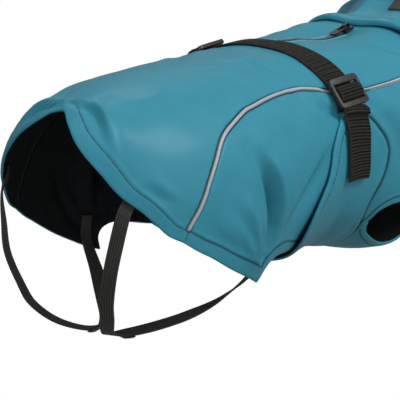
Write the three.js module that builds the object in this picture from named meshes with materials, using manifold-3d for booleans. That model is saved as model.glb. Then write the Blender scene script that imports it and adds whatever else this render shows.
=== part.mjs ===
import * as THREE from 'three';
import { mergeVertices } from 'three/addons/utils/BufferGeometryUtils.js';
import Module from 'manifold-3d';

// A worn raincoat for a small dog. Millimetres, +X to the head, +Z up, +Y the dog's left.
// The origin is on the inner face of the back, under the belt.

// Cloth, trims and hardware
const WALL = 1.6;
const GAP = 0.3;
const MM_PER_DEG = 1.4;          // arc on the body for one degree round it
const HEM_DEPTH = 9;
const HEM_SWELL = 0.6;
const PIPING_HALF = 1.5;
const PIPING_RISE = 0.8;
const WEB_WIDTH = 25;
const WEB_THICK = 1.5;
const BUCKLE = {
  length: 31, height: 23, thick: 3, rail: 2.7, topBar: 5, midBar: 4, lowBar: 4, corner: 3.2, raise: 0.9,
};
const ELASTIC = { width: 9.5, thick: 1.3 };
const COLLAR = { nape: 118, reach: 56, pitch: 32 };

const rad = (deg) => deg * Math.PI / 180;
const mix = (a, b, t) => a + (b - a) * t;
const clamp = (v, lo, hi) => Math.min(hi, Math.max(lo, v));

// Upright slices of the body: heights of the back, the widest level and the belly,
// half width, and how square the upper and lower halves are (2 is an ellipse)
const SECTIONS = [
  { x: -252, top: -30, wide: 24, mid: -66, low: -138, up: 2.2, down: 2.2 },
  { x: -236, top: -17, wide: 40, mid: -69, low: -156, up: 2.2, down: 2.25 },
  { x: -221, top: -8, wide: 52, mid: -72, low: -172, up: 2.2, down: 2.3 },
  { x: -200, top: -3, wide: 65, mid: -73, low: -184, up: 2.15, down: 2.3 },
  { x: -170, top: 1, wide: 75, mid: -74, low: -190, up: 2.1, down: 2.3 },
  { x: -130, top: 2, wide: 81, mid: -74, low: -187, up: 2.1, down: 2.25 },
  { x: -95, top: 2, wide: 82, mid: -73, low: -167, up: 2.1, down: 2.2 },
  { x: -60, top: 1, wide: 79, mid: -71, low: -150, up: 2.1, down: 2.2 },
  { x: -25, top: 0, wide: 76.5, mid: -69, low: -144, up: 2.15, down: 2.2 },
  { x: 0, top: 0, wide: 76, mid: -68, low: -143, up: 2.2, down: 2.25 },
  { x: 35, top: -1.5, wide: 79, mid: -71, low: -148, up: 2.4, down: 2.35 },
  { x: 70, top: -3, wide: 81, mid: -75, low: -159, up: 2.6, down: 2.85 },
  { x: 100, top: -2, wide: 78, mid: -77, low: -162, up: 2.6, down: 3 },
  { x: 130, top: 3, wide: 67, mid: -77, low: -155, up: 2.3, down: 2.7 },
  { x: 160, top: 10, wide: 54, mid: -73, low: -131, up: 2.1, down: 2.2 },
  { x: 190, top: 16, wide: 40, mid: -67, low: -100, up: 2.1, down: 2.1 },
];

// Large folds of the cloth on one side, as [x, degrees round the body] lines
const FOLDS = [
  { depth: -5.5, width: 9.5, line: [[-121, 64], [-114, 76], [-108, 87], [-103, 97], [-102, 116]] },
  { depth: 2.6, width: 10, line: [[-101, 68], [-92, 82], [-84, 94], [-79, 106]] },
  { depth: 3.4, width: 10, line: [[-138, 84], [-131, 92], [-126, 101], [-122, 111], [-115, 124]] },
  { depth: 1.8, width: 10, line: [[-160, 92], [-148, 101], [-135, 110]] },
  { depth: -1.8, width: 10, line: [[-36, 84], [-50, 94], [-62, 101], [-78, 112], [-88, 118]] },
  { depth: 3.4, width: 10, line: [[-224, 10], [-216, 20], [-212, 32], [-214, 44]] },
  { depth: -3.2, width: 9, line: [[-229, 18], [-223, 27], [-222, 38]] },
  { depth: 1.6, width: 11, line: [[-70, 12], [-40, 20], [-18, 28]] },
  { depth: -5.5, width: 19, line: [[38, 0], [62, 0], [86, 0], [112, 0], [160, 0]] },
];

// Outlines of the pieces on the dog's right, [x, degrees]; the left ones mirror them
const HEM = [[-222, 0], [-230, 12], [-235, 24], [-235.5, 38], [-231.5, 55], [-224.5, 72], [-213, 85],
  [-205.6, 93], [-197.6, 100], [-187, 104.6], [-175, 109], [-164, 112.6], [-144.5, 119.5],
  [-122, 126.6], [-104, 133.5]];
const PIPING = [[-187, 104], [-183, 96.3], [-176.5, 88.9], [-170.7, 81.9], [-165.8, 76], [-156.9, 67.9],
  [-146, 59.8], [-138, 56], [-127, 52.9], [-107.9, 48.7], [-97.8, 47.9], [-80.6, 46.6], [-59, 45.8],
  [-37.3, 47], [-20, 50.6], [-8, 54], [10, 56.8], [27.2, 57.5], [53, 56.4], [74.9, 54.6], [98, 52],
  [128.3, 50]];
const FLANK_HEM = [[-104, 133.5], [-101, 128], [-94, 125.2], [-80.8, 125.6], [-56.8, 133.3], [-34, 140.3],
  [-8, 148], [14, 150], [27, 141], [39.5, 129]];
const ARM_TOP = [[39.5, 129], [42.5, 123.5], [50, 119.5], [60, 117.3], [72, 116], [90, 116], [110, 119],
  [125, 126], [131, 134]];
const ARM_LOW = [[39.5, 129], [42, 133.5], [48, 138], [57, 141.3], [68, 144], [80, 146.3], [95, 147],
  [110, 145.5], [122, 141], [131, 134]];
const BAND_REAR = [[-7, 67], [-13, 70.3], [-21.3, 75.5], [-27.1, 81], [-30.6, 87.4], [-37.1, 96.3],
  [-45.2, 103.8], [-51.7, 110.8], [-55.8, 118.1], [-56, 124], [-52, 132], [-42, 145], [-34, 160],
  [-30, 180]];
const BAND_FRONT = [[14, 67.5], [18.7, 71], [24, 74.5], [29, 78.6], [34.5, 83.2], [38.3, 89], [37.6, 95],
  [34.8, 101.6], [30.8, 108.3], [27.6, 113.5], [26.4, 118.1], [27, 123], [29.5, 129.3], [32, 134],
  [35.5, 141.3], [39, 150], [40, 160], [40, 180]];

// Smooth value of column `key` at `at`, through rows sorted by column `by`
function column(rows, by, key, at) {
  let i = 0;
  while (i < rows.length - 2 && at > rows[i + 1][by]) i += 1;
  const slope = (k) => {
    const a = rows[Math.max(0, k - 1)];
    const b = rows[Math.min(rows.length - 1, k + 1)];
    return (b[key] - a[key]) / (b[by] - a[by]);
  };
  const step = rows[i + 1][by] - rows[i][by];
  const t = clamp((at - rows[i][by]) / step, 0, 1);
  const t2 = t * t;
  const t3 = t2 * t;
  return (2 * t3 - 3 * t2 + 1) * rows[i][key] + (t3 - 2 * t2 + t) * step * slope(i)
    + (3 * t2 - 2 * t3) * rows[i + 1][key] + (t3 - t2) * step * slope(i + 1);
}

// How far the folds push the cloth at a place on the body
function foldAt(x, deg) {
  const side = Math.abs(deg) > 180 ? 360 - Math.abs(deg) : Math.abs(deg);
  let sum = 0;
  for (const fold of FOLDS) {
    let best = Infinity;
    let along = 0;
    for (let i = 0; i < fold.line.length - 1; i += 1) {
      const [ax, at] = fold.line[i];
      const [bx, bt] = fold.line[i + 1];
      const dx = bx - ax;
      const dy = (bt - at) * MM_PER_DEG;
      const px = x - ax;
      const py = (side - at) * MM_PER_DEG;
      const t = clamp((px * dx + py * dy) / (dx * dx + dy * dy), 0, 1);
      const d = Math.hypot(px - t * dx, py - t * dy);
      if (d < best) {
        best = d;
        along = (i + t) / (fold.line.length - 1);
      }
    }
    const fade = 0.25 + 0.75 * Math.sin(Math.PI * clamp(along, 0.02, 0.98));
    sum += fold.depth * fade * Math.exp(-((best / fold.width) ** 2));
  }
  return sum;
}

// Inner face of the smooth body, without folds
function smoothBody(x, deg) {
  const at = (key) => column(SECTIONS, 'x', key, x);
  const s = Math.sin(rad(deg));
  const c = Math.cos(rad(deg));
  const mid = at('mid');
  const high = c > 0 ? at('top') - mid : mid - at('low');
  const n = c > 0 ? at('up') : at('down');
  const r = 1 / ((Math.abs(s) / at('wide')) ** n + (Math.abs(c) / high) ** n) ** (1 / n);
  return new THREE.Vector3(x, -r * s, mid + r * c);
}

// A point of the coat, `out` millimetres outside the cloth's inner face
function onBody(x, deg, out) {
  const dx = 0.5;
  const dt = 0.4;
  const along = smoothBody(x + dx, deg).sub(smoothBody(x - dx, deg));
  const round = smoothBody(x, deg + dt).sub(smoothBody(x, deg - dt));
  const normal = round.cross(along).normalize();
  return smoothBody(x, deg).addScaledVector(normal, out + foldAt(x, deg));
}

const neckX = (deg) => COLLAR.nape + (1 - Math.cos(rad(deg))) / 2 * COLLAR.reach;

// A closed solid between an outer and an inner grid of points, [row][column];
// `ring` joins the last column to the first
function wallSolid(outer, inner, ring = false) {
  const rows = outer.length;
  const cols = outer[0].length;
  const points = [...outer.flat(), ...inner.flat()];
  const index = [];
  const id = (i, j, face) => face * rows * cols + i * cols + (j % cols);
  const quad = (a, b, c, d) => {
    if (points[a].distanceTo(points[c]) <= points[b].distanceTo(points[d])) index.push(a, b, c, a, c, d);
    else index.push(b, c, d, b, d, a);
  };
  const spans = ring ? cols : cols - 1;
  for (let i = 0; i < rows - 1; i += 1) {
    for (let j = 0; j < spans; j += 1) {
      quad(id(i, j, 0), id(i + 1, j, 0), id(i + 1, j + 1, 0), id(i, j + 1, 0));
      quad(id(i, j, 1), id(i, j + 1, 1), id(i + 1, j + 1, 1), id(i + 1, j, 1));
    }
  }
  for (let j = 0; j < spans; j += 1) {
    quad(id(0, j, 0), id(0, j + 1, 0), id(0, j + 1, 1), id(0, j, 1));
    quad(id(rows - 1, j, 0), id(rows - 1, j, 1), id(rows - 1, j + 1, 1), id(rows - 1, j + 1, 0));
  }
  if (!ring) {
    for (let i = 0; i < rows - 1; i += 1) {
      quad(id(i, 0, 0), id(i, 0, 1), id(i + 1, 0, 1), id(i + 1, 0, 0));
      quad(id(i, cols - 1, 0), id(i + 1, cols - 1, 0), id(i + 1, cols - 1, 1), id(i, cols - 1, 1));
    }
  }
  return solidFrom(points, index);
}

// Closed geometry from points and triangles, turned so that its faces point out
function solidFrom(points, index) {
  let volume = 0;
  for (let i = 0; i < index.length; i += 3) {
    const [a, b, c] = [points[index[i]], points[index[i + 1]], points[index[i + 2]]];
    volume += a.dot(new THREE.Vector3().crossVectors(b, c));
  }
  const order = volume < 0 ? index.map((v, i) => index[i - i % 3 + [0, 2, 1][i % 3]]) : index;
  const geometry = new THREE.BufferGeometry();
  const position = new THREE.Float32BufferAttribute(points.flatMap((p) => p.toArray()), 3);
  geometry.setAttribute('position', position);
  geometry.setIndex(order);
  return geometry;
}

// To and from the solids that are joined and cut
function toManifold(wasm, source) {
  let geometry = source.clone();
  for (const name of ['normal', 'uv']) geometry.deleteAttribute(name);
  geometry = mergeVertices(geometry, 1e-4);
  return new wasm.Manifold(new wasm.Mesh({
    numProp: 3,
    vertProperties: geometry.getAttribute('position').array,
    triVerts: Uint32Array.from(geometry.index.array),
  }));
}

function fromManifold(solid) {
  const mesh = solid.getMesh();
  const geometry = new THREE.BufferGeometry();
  geometry.setAttribute('position', new THREE.BufferAttribute(Float32Array.from(mesh.vertProperties), 3));
  geometry.setIndex([...mesh.triVerts]);
  return geometry;
}

// Distances of a line's points from its start, on the body
function reachOf(line) {
  const reach = [0];
  for (let i = 1; i < line.length; i += 1) {
    const [dx, dt] = [line[i][0] - line[i - 1][0], line[i][1] - line[i - 1][1]];
    reach.push(reach[i - 1] + Math.hypot(dx, dt * MM_PER_DEG));
  }
  return reach;
}

// Point at fraction t of a line of [x, degrees], measured along it
function walk(line) {
  const reach = reachOf(line);
  return (t) => {
    const want = clamp(t, 0, 1) * reach[reach.length - 1];
    let i = 0;
    while (i < line.length - 2 && want > reach[i + 1]) i += 1;
    const u = (want - reach[i]) / (reach[i + 1] - reach[i]);
    return [mix(line[i][0], line[i + 1][0], u), mix(line[i][1], line[i + 1][1], u)];
  };
}

// The line moved sideways by `by` millimetres, to the left of its direction in (x, degrees)
function shifted(line, by) {
  return line.map((p, i) => {
    const a = line[Math.max(0, i - 1)];
    const b = line[Math.min(line.length - 1, i + 1)];
    const dx = b[0] - a[0];
    const dy = (b[1] - a[1]) * MM_PER_DEG;
    const len = Math.hypot(dx, dy);
    return [p[0] - dy / len * by, p[1] + dx / len * by / MM_PER_DEG];
  });
}

// Coons patch: four edges in (x, degrees) blended over (s, t) from 0 to 1
function patch(rear, front, first, last) {
  return (s, t) => [0, 1].map((k) => (1 - s) * rear(t)[k] + s * front(t)[k]
    + (1 - t) * first(s)[k] + t * last(s)[k]
    - (1 - s) * (1 - t) * first(0)[k] - (1 - s) * t * last(0)[k]
    - s * (1 - t) * first(1)[k] - s * t * last(1)[k]);
}

// Evenly spaced fractions, with a last narrow step of `edge` at the chosen ends
function fractions(count, startEdge, endEdge) {
  const list = [];
  const lo = startEdge ? startEdge : 0;
  const hi = endEdge ? 1 - endEdge : 1;
  if (startEdge) list.push(0, startEdge * 0.88);
  for (let i = 0; i <= count; i += 1) list.push(mix(lo, hi, i / count));
  if (endEdge) list.push(1 - endEdge * 0.88, 1);
  return list;
}

// A cloth piece: place(s, t) gives [x, degrees]; swell(s, t) adds to its outer face
function clothPiece(place, rows, cols, inset, swell) {
  const outer = [];
  const inner = [];
  for (const s of rows) {
    outer.push(cols.map((t) => {
      const [x, deg] = place(s, t);
      return onBody(x, deg, inset(s, t) + WALL + swell(s, t));
    }));
    inner.push(cols.map((t) => {
      const [x, deg] = place(s, t);
      return onBody(x, deg, inset(s, t));
    }));
  }
  return wallSolid(outer, inner);
}

const zero = () => 0;
const mirrorLine = (line) => line.map(([x, deg]) => [x, -deg]);

// The piped seam, with points where the hem's stitching starts and ends it: the two panels
// meet below them and make room for the piping above
const seamAt = (mm) => walk(PIPING)(mm / reachOf(PIPING).pop());
const seam = [PIPING[0], seamAt(HEM_DEPTH * 0.88), seamAt(HEM_DEPTH), ...PIPING.slice(1)];
const besideSeam = (side, room) => [
  ...shifted(seam, side * GAP / 2).slice(0, 2),
  ...shifted(seam, side * (PIPING_HALF + GAP + room)).slice(2),
];
const backSeam = besideSeam(-1, 0.35);
const sideSeam = besideSeam(1, 0.1);

// Rows of a panel beside the piped seam: one at the foot of the piping, one just above it
function hemRows(side, count) {
  const reach = reachOf(side).map((r, i, all) => r / all[all.length - 1]);
  const rows = fractions(count, reach[2], 0);
  rows[1] = reach[1];
  return rows;
}

// Back panel, from the tail hem to the neckline, between the two pipings
function backPanel() {
  const hemHalf = [...HEM.filter(([, deg]) => deg < 104), backSeam[0]];
  const rearEdge = walk([...mirrorLine(hemHalf).reverse(), ...hemHalf.slice(1)]);
  const side = backSeam.map((p) => [...p]);
  const neckEnd = side[side.length - 1][1];
  side[side.length - 1][0] = neckX(neckEnd);
  const front = (t) => {
    const deg = mix(-neckEnd, neckEnd, t);
    return [neckX(deg), deg];
  };
  const place = patch(rearEdge, front, walk(mirrorLine(side)), walk(side));
  const rows = hemRows(side, 30);
  const swell = (s) => (s <= rows[1] ? HEM_SWELL : 0);
  return clothPiece(place, rows, fractions(16, 0, 0), zero, swell);
}

// Side panel, from the piping down to the flank hem and the armhole
function sidePanel(sign) {
  const rearHem = [sideSeam[0], ...HEM.filter(([, deg]) => deg > 108)];
  const top = sideSeam.map((p) => [...p]);
  top[top.length - 1] = [neckX(top[top.length - 1][1]), top[top.length - 1][1]];
  const bottomLine = [...FLANK_HEM, ...ARM_TOP.slice(1), [148, 137.5]];
  bottomLine.push([neckX(141), 141]);
  const lower = shifted(bottomLine, -GAP / 2);
  lower[0] = HEM[HEM.length - 1];
  lower[lower.length - 1][0] = neckX(lower[lower.length - 1][1]);
  const frontTop = top[top.length - 1][1];
  const frontLow = lower[lower.length - 1][1];
  const front = (t) => {
    const deg = mix(frontTop, frontLow, t);
    return [neckX(deg), deg];
  };
  const rear = walk(rearHem);
  const place = patch(rear, front, walk(top), walk(lower));
  const edge = 0.075;
  const rows = hemRows(top, 40);
  const turned = (s, t) => (t > 1 - edge * 0.9 || s <= rows[1] ? HEM_SWELL : 0);
  const signed = (s, t) => {
    const [x, deg] = place(s, t);
    return [x, deg * sign];
  };
  return clothPiece(signed, rows, fractions(12, 0, edge), zero, turned);
}

// Chest panel between the armholes; its rear end lies under the belly band
function chestPanel() {
  const back = [[-8, 149], [14, 151.5], [27, 142.5], [39.5, 130]];
  const edgeLine = shifted([...back, ...ARM_LOW.slice(1), [148, 138.5], [neckX(141.6), 141.6]], GAP);
  edgeLine[edgeLine.length - 1][0] = neckX(edgeLine[edgeLine.length - 1][1]);
  const right = walk(edgeLine);
  const left = (s) => {
    const [x, deg] = right(s);
    return [x, 360 - deg];
  };
  const rearDeg = edgeLine[0][1];
  const frontDeg = edgeLine[edgeLine.length - 1][1];
  const rear = (t) => [edgeLine[0][0] - 10 * Math.sin(Math.PI * t), mix(rearDeg, 360 - rearDeg, t)];
  const front = (t) => {
    const deg = mix(frontDeg, 360 - frontDeg, t);
    return [neckX(deg), deg];
  };
  const place = patch(rear, front, right, left);
  const edge = 0.11;
  const turned = (s, t) => (t < edge * 0.9 || t > 1 - edge * 0.9 ? HEM_SWELL : 0);
  return clothPiece(place, fractions(20, 0, 0), fractions(5, edge, edge), zero, turned);
}

// Belly band: round the belly over the side panels, with a free, lifted rear edge
function bellyBand() {
  const half = (deg) => (deg > 180 ? 360 - deg : deg);
  const start = BAND_REAR[0][1];
  const byAngle = (line) => line.map(([x, deg]) => ({ x, deg }));
  const rearRows = byAngle(BAND_REAR);
  const frontRows = byAngle(BAND_FRONT);
  const place = (s, t) => {
    const deg = mix(start, 360 - start, t);
    const a = column(rearRows, 'deg', 'x', half(deg));
    const b = column(frontRows, 'deg', 'x', half(deg));
    return [mix(a, b, s), deg];
  };
  const inset = (s, t) => {
    const deg = half(place(s, t)[1]);
    const free = Math.exp(-(((deg - 116) / 26) ** 2));
    return WALL + HEM_SWELL * clamp((deg - 110) / 12, 0, 1) + GAP + 2.6 * free * (1 - s) ** 3;
  };
  const rows = [0, 0.12, 0.3, 0.5, 0.7, 0.88, 1];
  return clothPiece(place, rows, fractions(44, 0, 0), inset, zero);
}

// A strip along a line of [x, degrees], `half` wide each way, between two heights
function strip(line, half, steps, low, high, profile) {
  const path = walk(line);
  const outer = [];
  const inner = [];
  for (let i = 0; i <= steps; i += 1) {
    const t = i / steps;
    const [ax, ad] = path(Math.max(0, t - 0.004));
    const [bx, bd] = path(Math.min(1, t + 0.004));
    const [x, deg] = path(t);
    const dx = bx - ax;
    const dy = (bd - ad) * MM_PER_DEG;
    const len = Math.hypot(dx, dy);
    const at = (side, out) => onBody(x - dy / len * side, deg + dx / len * side / MM_PER_DEG, out);
    outer.push(profile.map(([side, rise]) => at(side * half, high(t, x, deg) + rise)));
    inner.push(profile.map(([side]) => at(side * half, low(t, x, deg))));
  }
  return wallSolid(outer, inner);
}

// Piping bead in the seam, pressed flat under the belt
function piping(sign) {
  const whole = [seamAt(HEM_DEPTH + 0.6), ...PIPING.slice(1, -1), [neckX(50), 50]];
  const line = whole.map(([x, deg]) => [x, deg * sign]);
  const free = (x) => clamp((Math.abs(x) - 15) / 6, 0, 1) * clamp((118 - x) / 4, 0, 1);
  const rise = (t, x) => WALL - 0.5 + PIPING_RISE * free(x);
  return strip(line, PIPING_HALF, 46, zero, rise, [[-1, 0], [0, 0.5], [1, 0]]);
}

// Belt webbing over the back, down both sides to the belly band
const BELT_OUT = WALL + GAP + 0.15;
const BELT_END = 66.3;
function belt() {
  const line = [[0, -BELT_END], [0, 0], [1, 40], [1.5, BELT_END]];
  const flat = [[-1, 0], [1, 0]];
  return strip(line, WEB_WIDTH / 2, 44, () => BELT_OUT, () => BELT_OUT + WEB_THICK, flat);
}

// Ladder buckle: a flat frame with two windows and a bar between them
const BUCKLES = {
  right: { x: 3.2, deg: 57.9, tailX: 1.5 },
  left: { x: 0, deg: -44, tailX: 0 },
};
const BUCKLE_OUT = BELT_OUT + WEB_THICK + GAP;

// Flat frame of reference on the body: u to the head, v down the side, n out
function seat({ x, deg }) {
  const at = onBody(x, deg, BUCKLE_OUT);
  const u = new THREE.Vector3(1, 0, 0);
  const n = onBody(x, deg, BUCKLE_OUT + 1).sub(at);
  u.addScaledVector(n, -u.dot(n)).normalize();
  const v = new THREE.Vector3().crossVectors(n, u).multiplyScalar(Math.sign(deg));
  if (v.z > 0) v.negate();
  return (a, b, c) => at.clone().addScaledVector(u, a).addScaledVector(v, b).addScaledVector(n, c);
}

function buckle(spot) {
  const place = seat(spot);
  const { length, height, thick, rail, topBar, midBar, lowBar, corner, raise } = BUCKLE;
  const shape = new THREE.Shape();
  const [w, h] = [length / 2, height / 2];
  shape.moveTo(-w + corner, -h);
  shape.lineTo(w - corner, -h);
  shape.quadraticCurveTo(w, -h, w, -h + corner);
  shape.lineTo(w, h - corner);
  shape.quadraticCurveTo(w, h, w - corner, h);
  shape.lineTo(-w + corner, h);
  shape.quadraticCurveTo(-w, h, -w, h - corner);
  shape.lineTo(-w, -h + corner);
  shape.quadraticCurveTo(-w, -h, -w + corner, -h);
  const window = (height - topBar - midBar - lowBar) / 2;
  for (const low of [-h + topBar, -h + topBar + window + midBar]) {
    const hole = new THREE.Path();
    hole.moveTo(-w + rail, low);
    hole.lineTo(-w + rail, low + window);
    hole.lineTo(w - rail, low + window);
    hole.lineTo(w - rail, low);
    hole.closePath();
    shape.holes.push(hole);
  }
  const plate = { depth: thick, bevelEnabled: false, curveSegments: 4 };
  const geometry = new THREE.ExtrudeGeometry(shape, plate);
  const position = geometry.getAttribute('position');
  const merged = new Map();
  const points = [];
  const index = [];
  for (let i = 0; i < position.count; i += 1) {
    const [a, b, c] = [position.getX(i), position.getY(i), position.getZ(i)];
    const key = [a, b, c].map((v) => v.toFixed(3)).join();
    if (!merged.has(key)) {
      merged.set(key, points.length);
      points.push(place(a, b, c + raise));
    }
    index.push(merged.get(key));
  }
  return solidFrom(points, index);
}

// Webbing that rises through one window, over the middle bar and down the other
function buckleWebbing(spot) {
  const place = seat(spot);
  const { height, thick, topBar, midBar, lowBar, raise } = BUCKLE;
  const window = (height - topBar - midBar - lowBar) / 2;
  const barAt = -height / 2 + topBar + window + midBar / 2;
  const lift = thick + raise + GAP;
  const reach = midBar / 2 + window - GAP;
  const rising = [[-1, 0.1], [-0.86, 0.3], [-0.66, lift - 0.5], [-0.5, lift]];
  const curve = [...rising, ...rising.map(([b, c]) => [-b, c]).reverse()];
  const half = (WEB_WIDTH - 0.2) / 2;
  const row = (b, c) => [-1, 1].map((a) => place(a * half, b, c));
  const outer = curve.map(([b, c]) => row(barAt + b * reach, c + WEB_THICK));
  const inner = curve.map(([b, c]) => {
    const steep = Math.abs(b) < 0.9 && Math.abs(b) > 0.5;
    return row(barAt + b * reach - (steep ? Math.sign(b) * WEB_THICK * 0.8 : 0), c);
  });
  return wallSolid(outer, inner);
}

// Loose end of the belt, which leaves the buckle and hangs over the band
function tail(spot, sign) {
  const start = Math.abs(spot.deg) + 9.7;
  const line = [[0, 0], [-1.6, 6], [-2.4, 34.1]].map(([x, deg]) => [spot.tailX + x, (start + deg) * sign]);
  const overBand = (deg) => clamp((Math.abs(deg) - 64.5) / 2.5, 0, 1);
  const low = (t, x, deg) => {
    const kink = 1.8 * Math.exp(-(((t - 0.14) / 0.06) ** 2));
    return BUCKLE_OUT + (WALL + GAP) * overBand(deg) * 0.9 + kink + 0.15;
  };
  const flat = [[-1, 0], [1, 0]];
  return strip(line, WEB_WIDTH / 2, 26, low, (t, x, deg) => low(t, x, deg) + WEB_THICK, flat);
}

// Leg elastic: from the rear hem round the back of the thigh, then forward to the flank corner
const ELASTIC_PATH = [
  { x: -223.2, y: -51.1, z: -67.8, nx: -0.62, ny: -0.78, nz: 0.05 },
  { x: -226.2, y: -47.3, z: -87.1, nx: -0.76, ny: -0.64, nz: 0 },
  { x: -227.8, y: -43.2, z: -107.2, nx: -0.8, ny: -0.58, nz: -0.1 },
  { x: -222.7, y: -35.9, z: -129.7, nx: -0.78, ny: -0.5, nz: -0.35 },
  { x: -217.3, y: -31.9, z: -142.1, nx: -0.72, ny: -0.36, nz: -0.6 },
  { x: -206, y: -22.5, z: -154.5, nx: -0.6, ny: -0.25, nz: -0.76 },
  { x: -190, y: -13, z: -162.5, nx: -0.4, ny: -0.1, nz: -0.91 },
  { x: -172, y: -12, z: -166, nx: -0.1, ny: 0.3, nz: -0.95 },
  { x: -154, y: -22, z: -164, nx: 0.05, ny: 0.4, nz: -0.9 },
  { x: -138, y: -38, z: -157, nx: 0.15, ny: 0.3, nz: -0.93 },
  { x: -124, y: -54, z: -146, nx: 0.1, ny: -0.2, nz: -0.97 },
];

function elastic(sign) {
  const inside = -(ELASTIC.thick / 2 + 1.1);
  const hemStart = onBody(-215.5, 70, inside);
  const hemLip = onBody(-218.8, 77.5, inside);
  const flankLip = onBody(-113, 125.5, inside - 0.3);
  const flankEnd = onBody(-110, 117, inside);
  const rows = [
    { p: hemStart, n: onBody(-215.5, 70, 1).sub(onBody(-215.5, 70, 0)) },
    { p: hemLip, n: onBody(-218.8, 77.5, 1).sub(onBody(-218.8, 77.5, 0)) },
    ...ELASTIC_PATH.map((r) => ({
      p: new THREE.Vector3(r.x, r.y, r.z),
      n: new THREE.Vector3(r.nx, r.ny, r.nz),
    })),
    { p: flankLip, n: onBody(-113, 125.5, 1).sub(onBody(-113, 125.5, 0)) },
    { p: flankEnd, n: onBody(-110, 117, 1).sub(onBody(-110, 117, 0)) },
  ];
  for (const row of rows) {
    row.p.y *= sign;
    row.n.y *= sign;
  }
  const path = new THREE.CatmullRomCurve3(rows.map((r) => r.p), false, 'centripetal');
  const facing = new THREE.CatmullRomCurve3(rows.map((r) => r.n), false, 'centripetal');
  const steps = 46;
  const outer = [];
  const inner = [];
  for (let i = 0; i <= steps; i += 1) {
    const t = i / steps;
    const p = path.getPoint(t);
    const along = path.getTangent(t);
    const across = new THREE.Vector3().crossVectors(along, facing.getPoint(t)).normalize();
    const n = new THREE.Vector3().crossVectors(across, along).normalize();
    const half = ELASTIC.width / 2;
    const at = (side, out) => p.clone().addScaledVector(across, side * half).addScaledVector(n, out);
    outer.push([-1, 1].map((side) => at(side, ELASTIC.thick / 2)));
    inner.push([-1, 1].map((side) => at(side, -ELASTIC.thick / 2)));
  }
  return wallSolid(outer, inner);
}

// Collar: a roll over the neckline seam, then a narrower standing tube.
// The first rows lie on the body, `back` from the neckline and `rise` above the cloth;
// the others stand on the seam, `along` the neck axis and `out` from it
const COLLAR_LYING = [
  { back: 6, rise: 0 },
  { back: 4.4, rise: 1.5 },
  { back: 1.5, rise: 2.4 },
];
const COLLAR_STANDING = [
  { along: 3.5, out: 3.4 },
  { along: 7, out: 1.6 },
  { along: 10.5, out: -4 },
  { along: 15, out: -10.5 },
  { along: 22, out: -14.5 },
  { along: 32, out: -16.5 },
  { along: 44, out: -17 },
];
const COLLAR_AROUND = 40;
const neckAxis = new THREE.Vector3(Math.cos(rad(COLLAR.pitch)), 0, Math.sin(rad(COLLAR.pitch)));
const neckCentre = new THREE.Vector3();
for (let j = 0; j < COLLAR_AROUND; j += 1) {
  const deg = j * 360 / COLLAR_AROUND;
  neckCentre.addScaledVector(smoothBody(neckX(deg), deg), 1 / COLLAR_AROUND);
}

// A smooth step from 0 to 1 as the angle from the nape goes from one value to another
function fromNape(deg, from, to) {
  const u = clamp((Math.min(deg, 360 - deg) - from) / (to - from), 0, 1);
  return u * u * (3 - 2 * u);
}

function collar() {
  const lap = (deg) => WALL + GAP + mix(0.15, 0.6, fromNape(deg, 100, 140));
  const face = (row, deg) => {
    const full = mix(0.5, 1, fromNape(deg, 12, 60));
    if ('back' in row) return onBody(neckX(deg) - row.back, deg, lap(deg) + WALL + row.rise * full);
    const seam = onBody(neckX(deg), deg, WALL);
    const away = seam.clone().sub(neckCentre);
    away.addScaledVector(neckAxis, -away.dot(neckAxis)).normalize();
    const drawn = mix(0.72, 1, fromNape(deg, 10, 70));
    const out = row.out * (row.out > 0 ? full : drawn);
    return seam.addScaledVector(neckAxis, row.along).addScaledVector(away, out);
  };
  const outer = [...COLLAR_LYING, ...COLLAR_STANDING]
    .map((row) => Array.from({ length: COLLAR_AROUND }, (unused, j) => face(row, j * 360 / COLLAR_AROUND)));
  const inner = outer.map((row, i) => row.map((p, j) => {
    const up = outer[Math.min(outer.length - 1, i + 1)][j].clone().sub(outer[Math.max(0, i - 1)][j]);
    const round = row[(j + 1) % COLLAR_AROUND].clone().sub(row[(j + COLLAR_AROUND - 1) % COLLAR_AROUND]);
    const n = round.cross(up).normalize();
    if (i === 0) {
      const deg = j * 360 / COLLAR_AROUND;
      return onBody(neckX(deg) - COLLAR_LYING[0].back, deg, lap(deg));
    }
    return p.clone().addScaledVector(n, WALL * (n.dot(p.clone().sub(neckCentre)) > 0 ? -1 : 1));
  }));
  return wallSolid(outer, inner, true);
}

// Zip on the spine, from the belt to the nape: two lips, the chain, the slider and its tab
const ZIP = { from: 16, lipsTo: 96, to: 107, lipHalf: 1.7, chainHalf: 1.6 };
const SLIDER = { at: 98.4, length: 10.6, width: 7.6, high: 2.2, lift: 2.7 };
const BRIDGE = { length: 8, width: 2.4, hole: 2.1, roof: 0.9, post: 1.2 };
const PULL = { length: 16.5, half: 3, bar: 0.5, slot: 7.7, slotHalf: 1.6, thick: 1 };

function zipLip(sign) {
  const line = [[ZIP.from, sign * 3.2], [ZIP.lipsTo, sign * 3.2]];
  const [low, high] = [WALL + GAP + 0.4, WALL + GAP + 1.2];
  return strip(line, ZIP.lipHalf, 14, () => low, () => high, [[-1, 0], [0, 0.4], [1, 0]]);
}

function zipChain() {
  const line = [[ZIP.from, 0], [ZIP.to, 0]];
  const [low, high] = [WALL + GAP + 0.1, WALL + GAP + 0.5];
  return strip(line, ZIP.chainHalf, 14, () => low, () => high, [[-1, 0], [1, 0]]);
}

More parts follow.
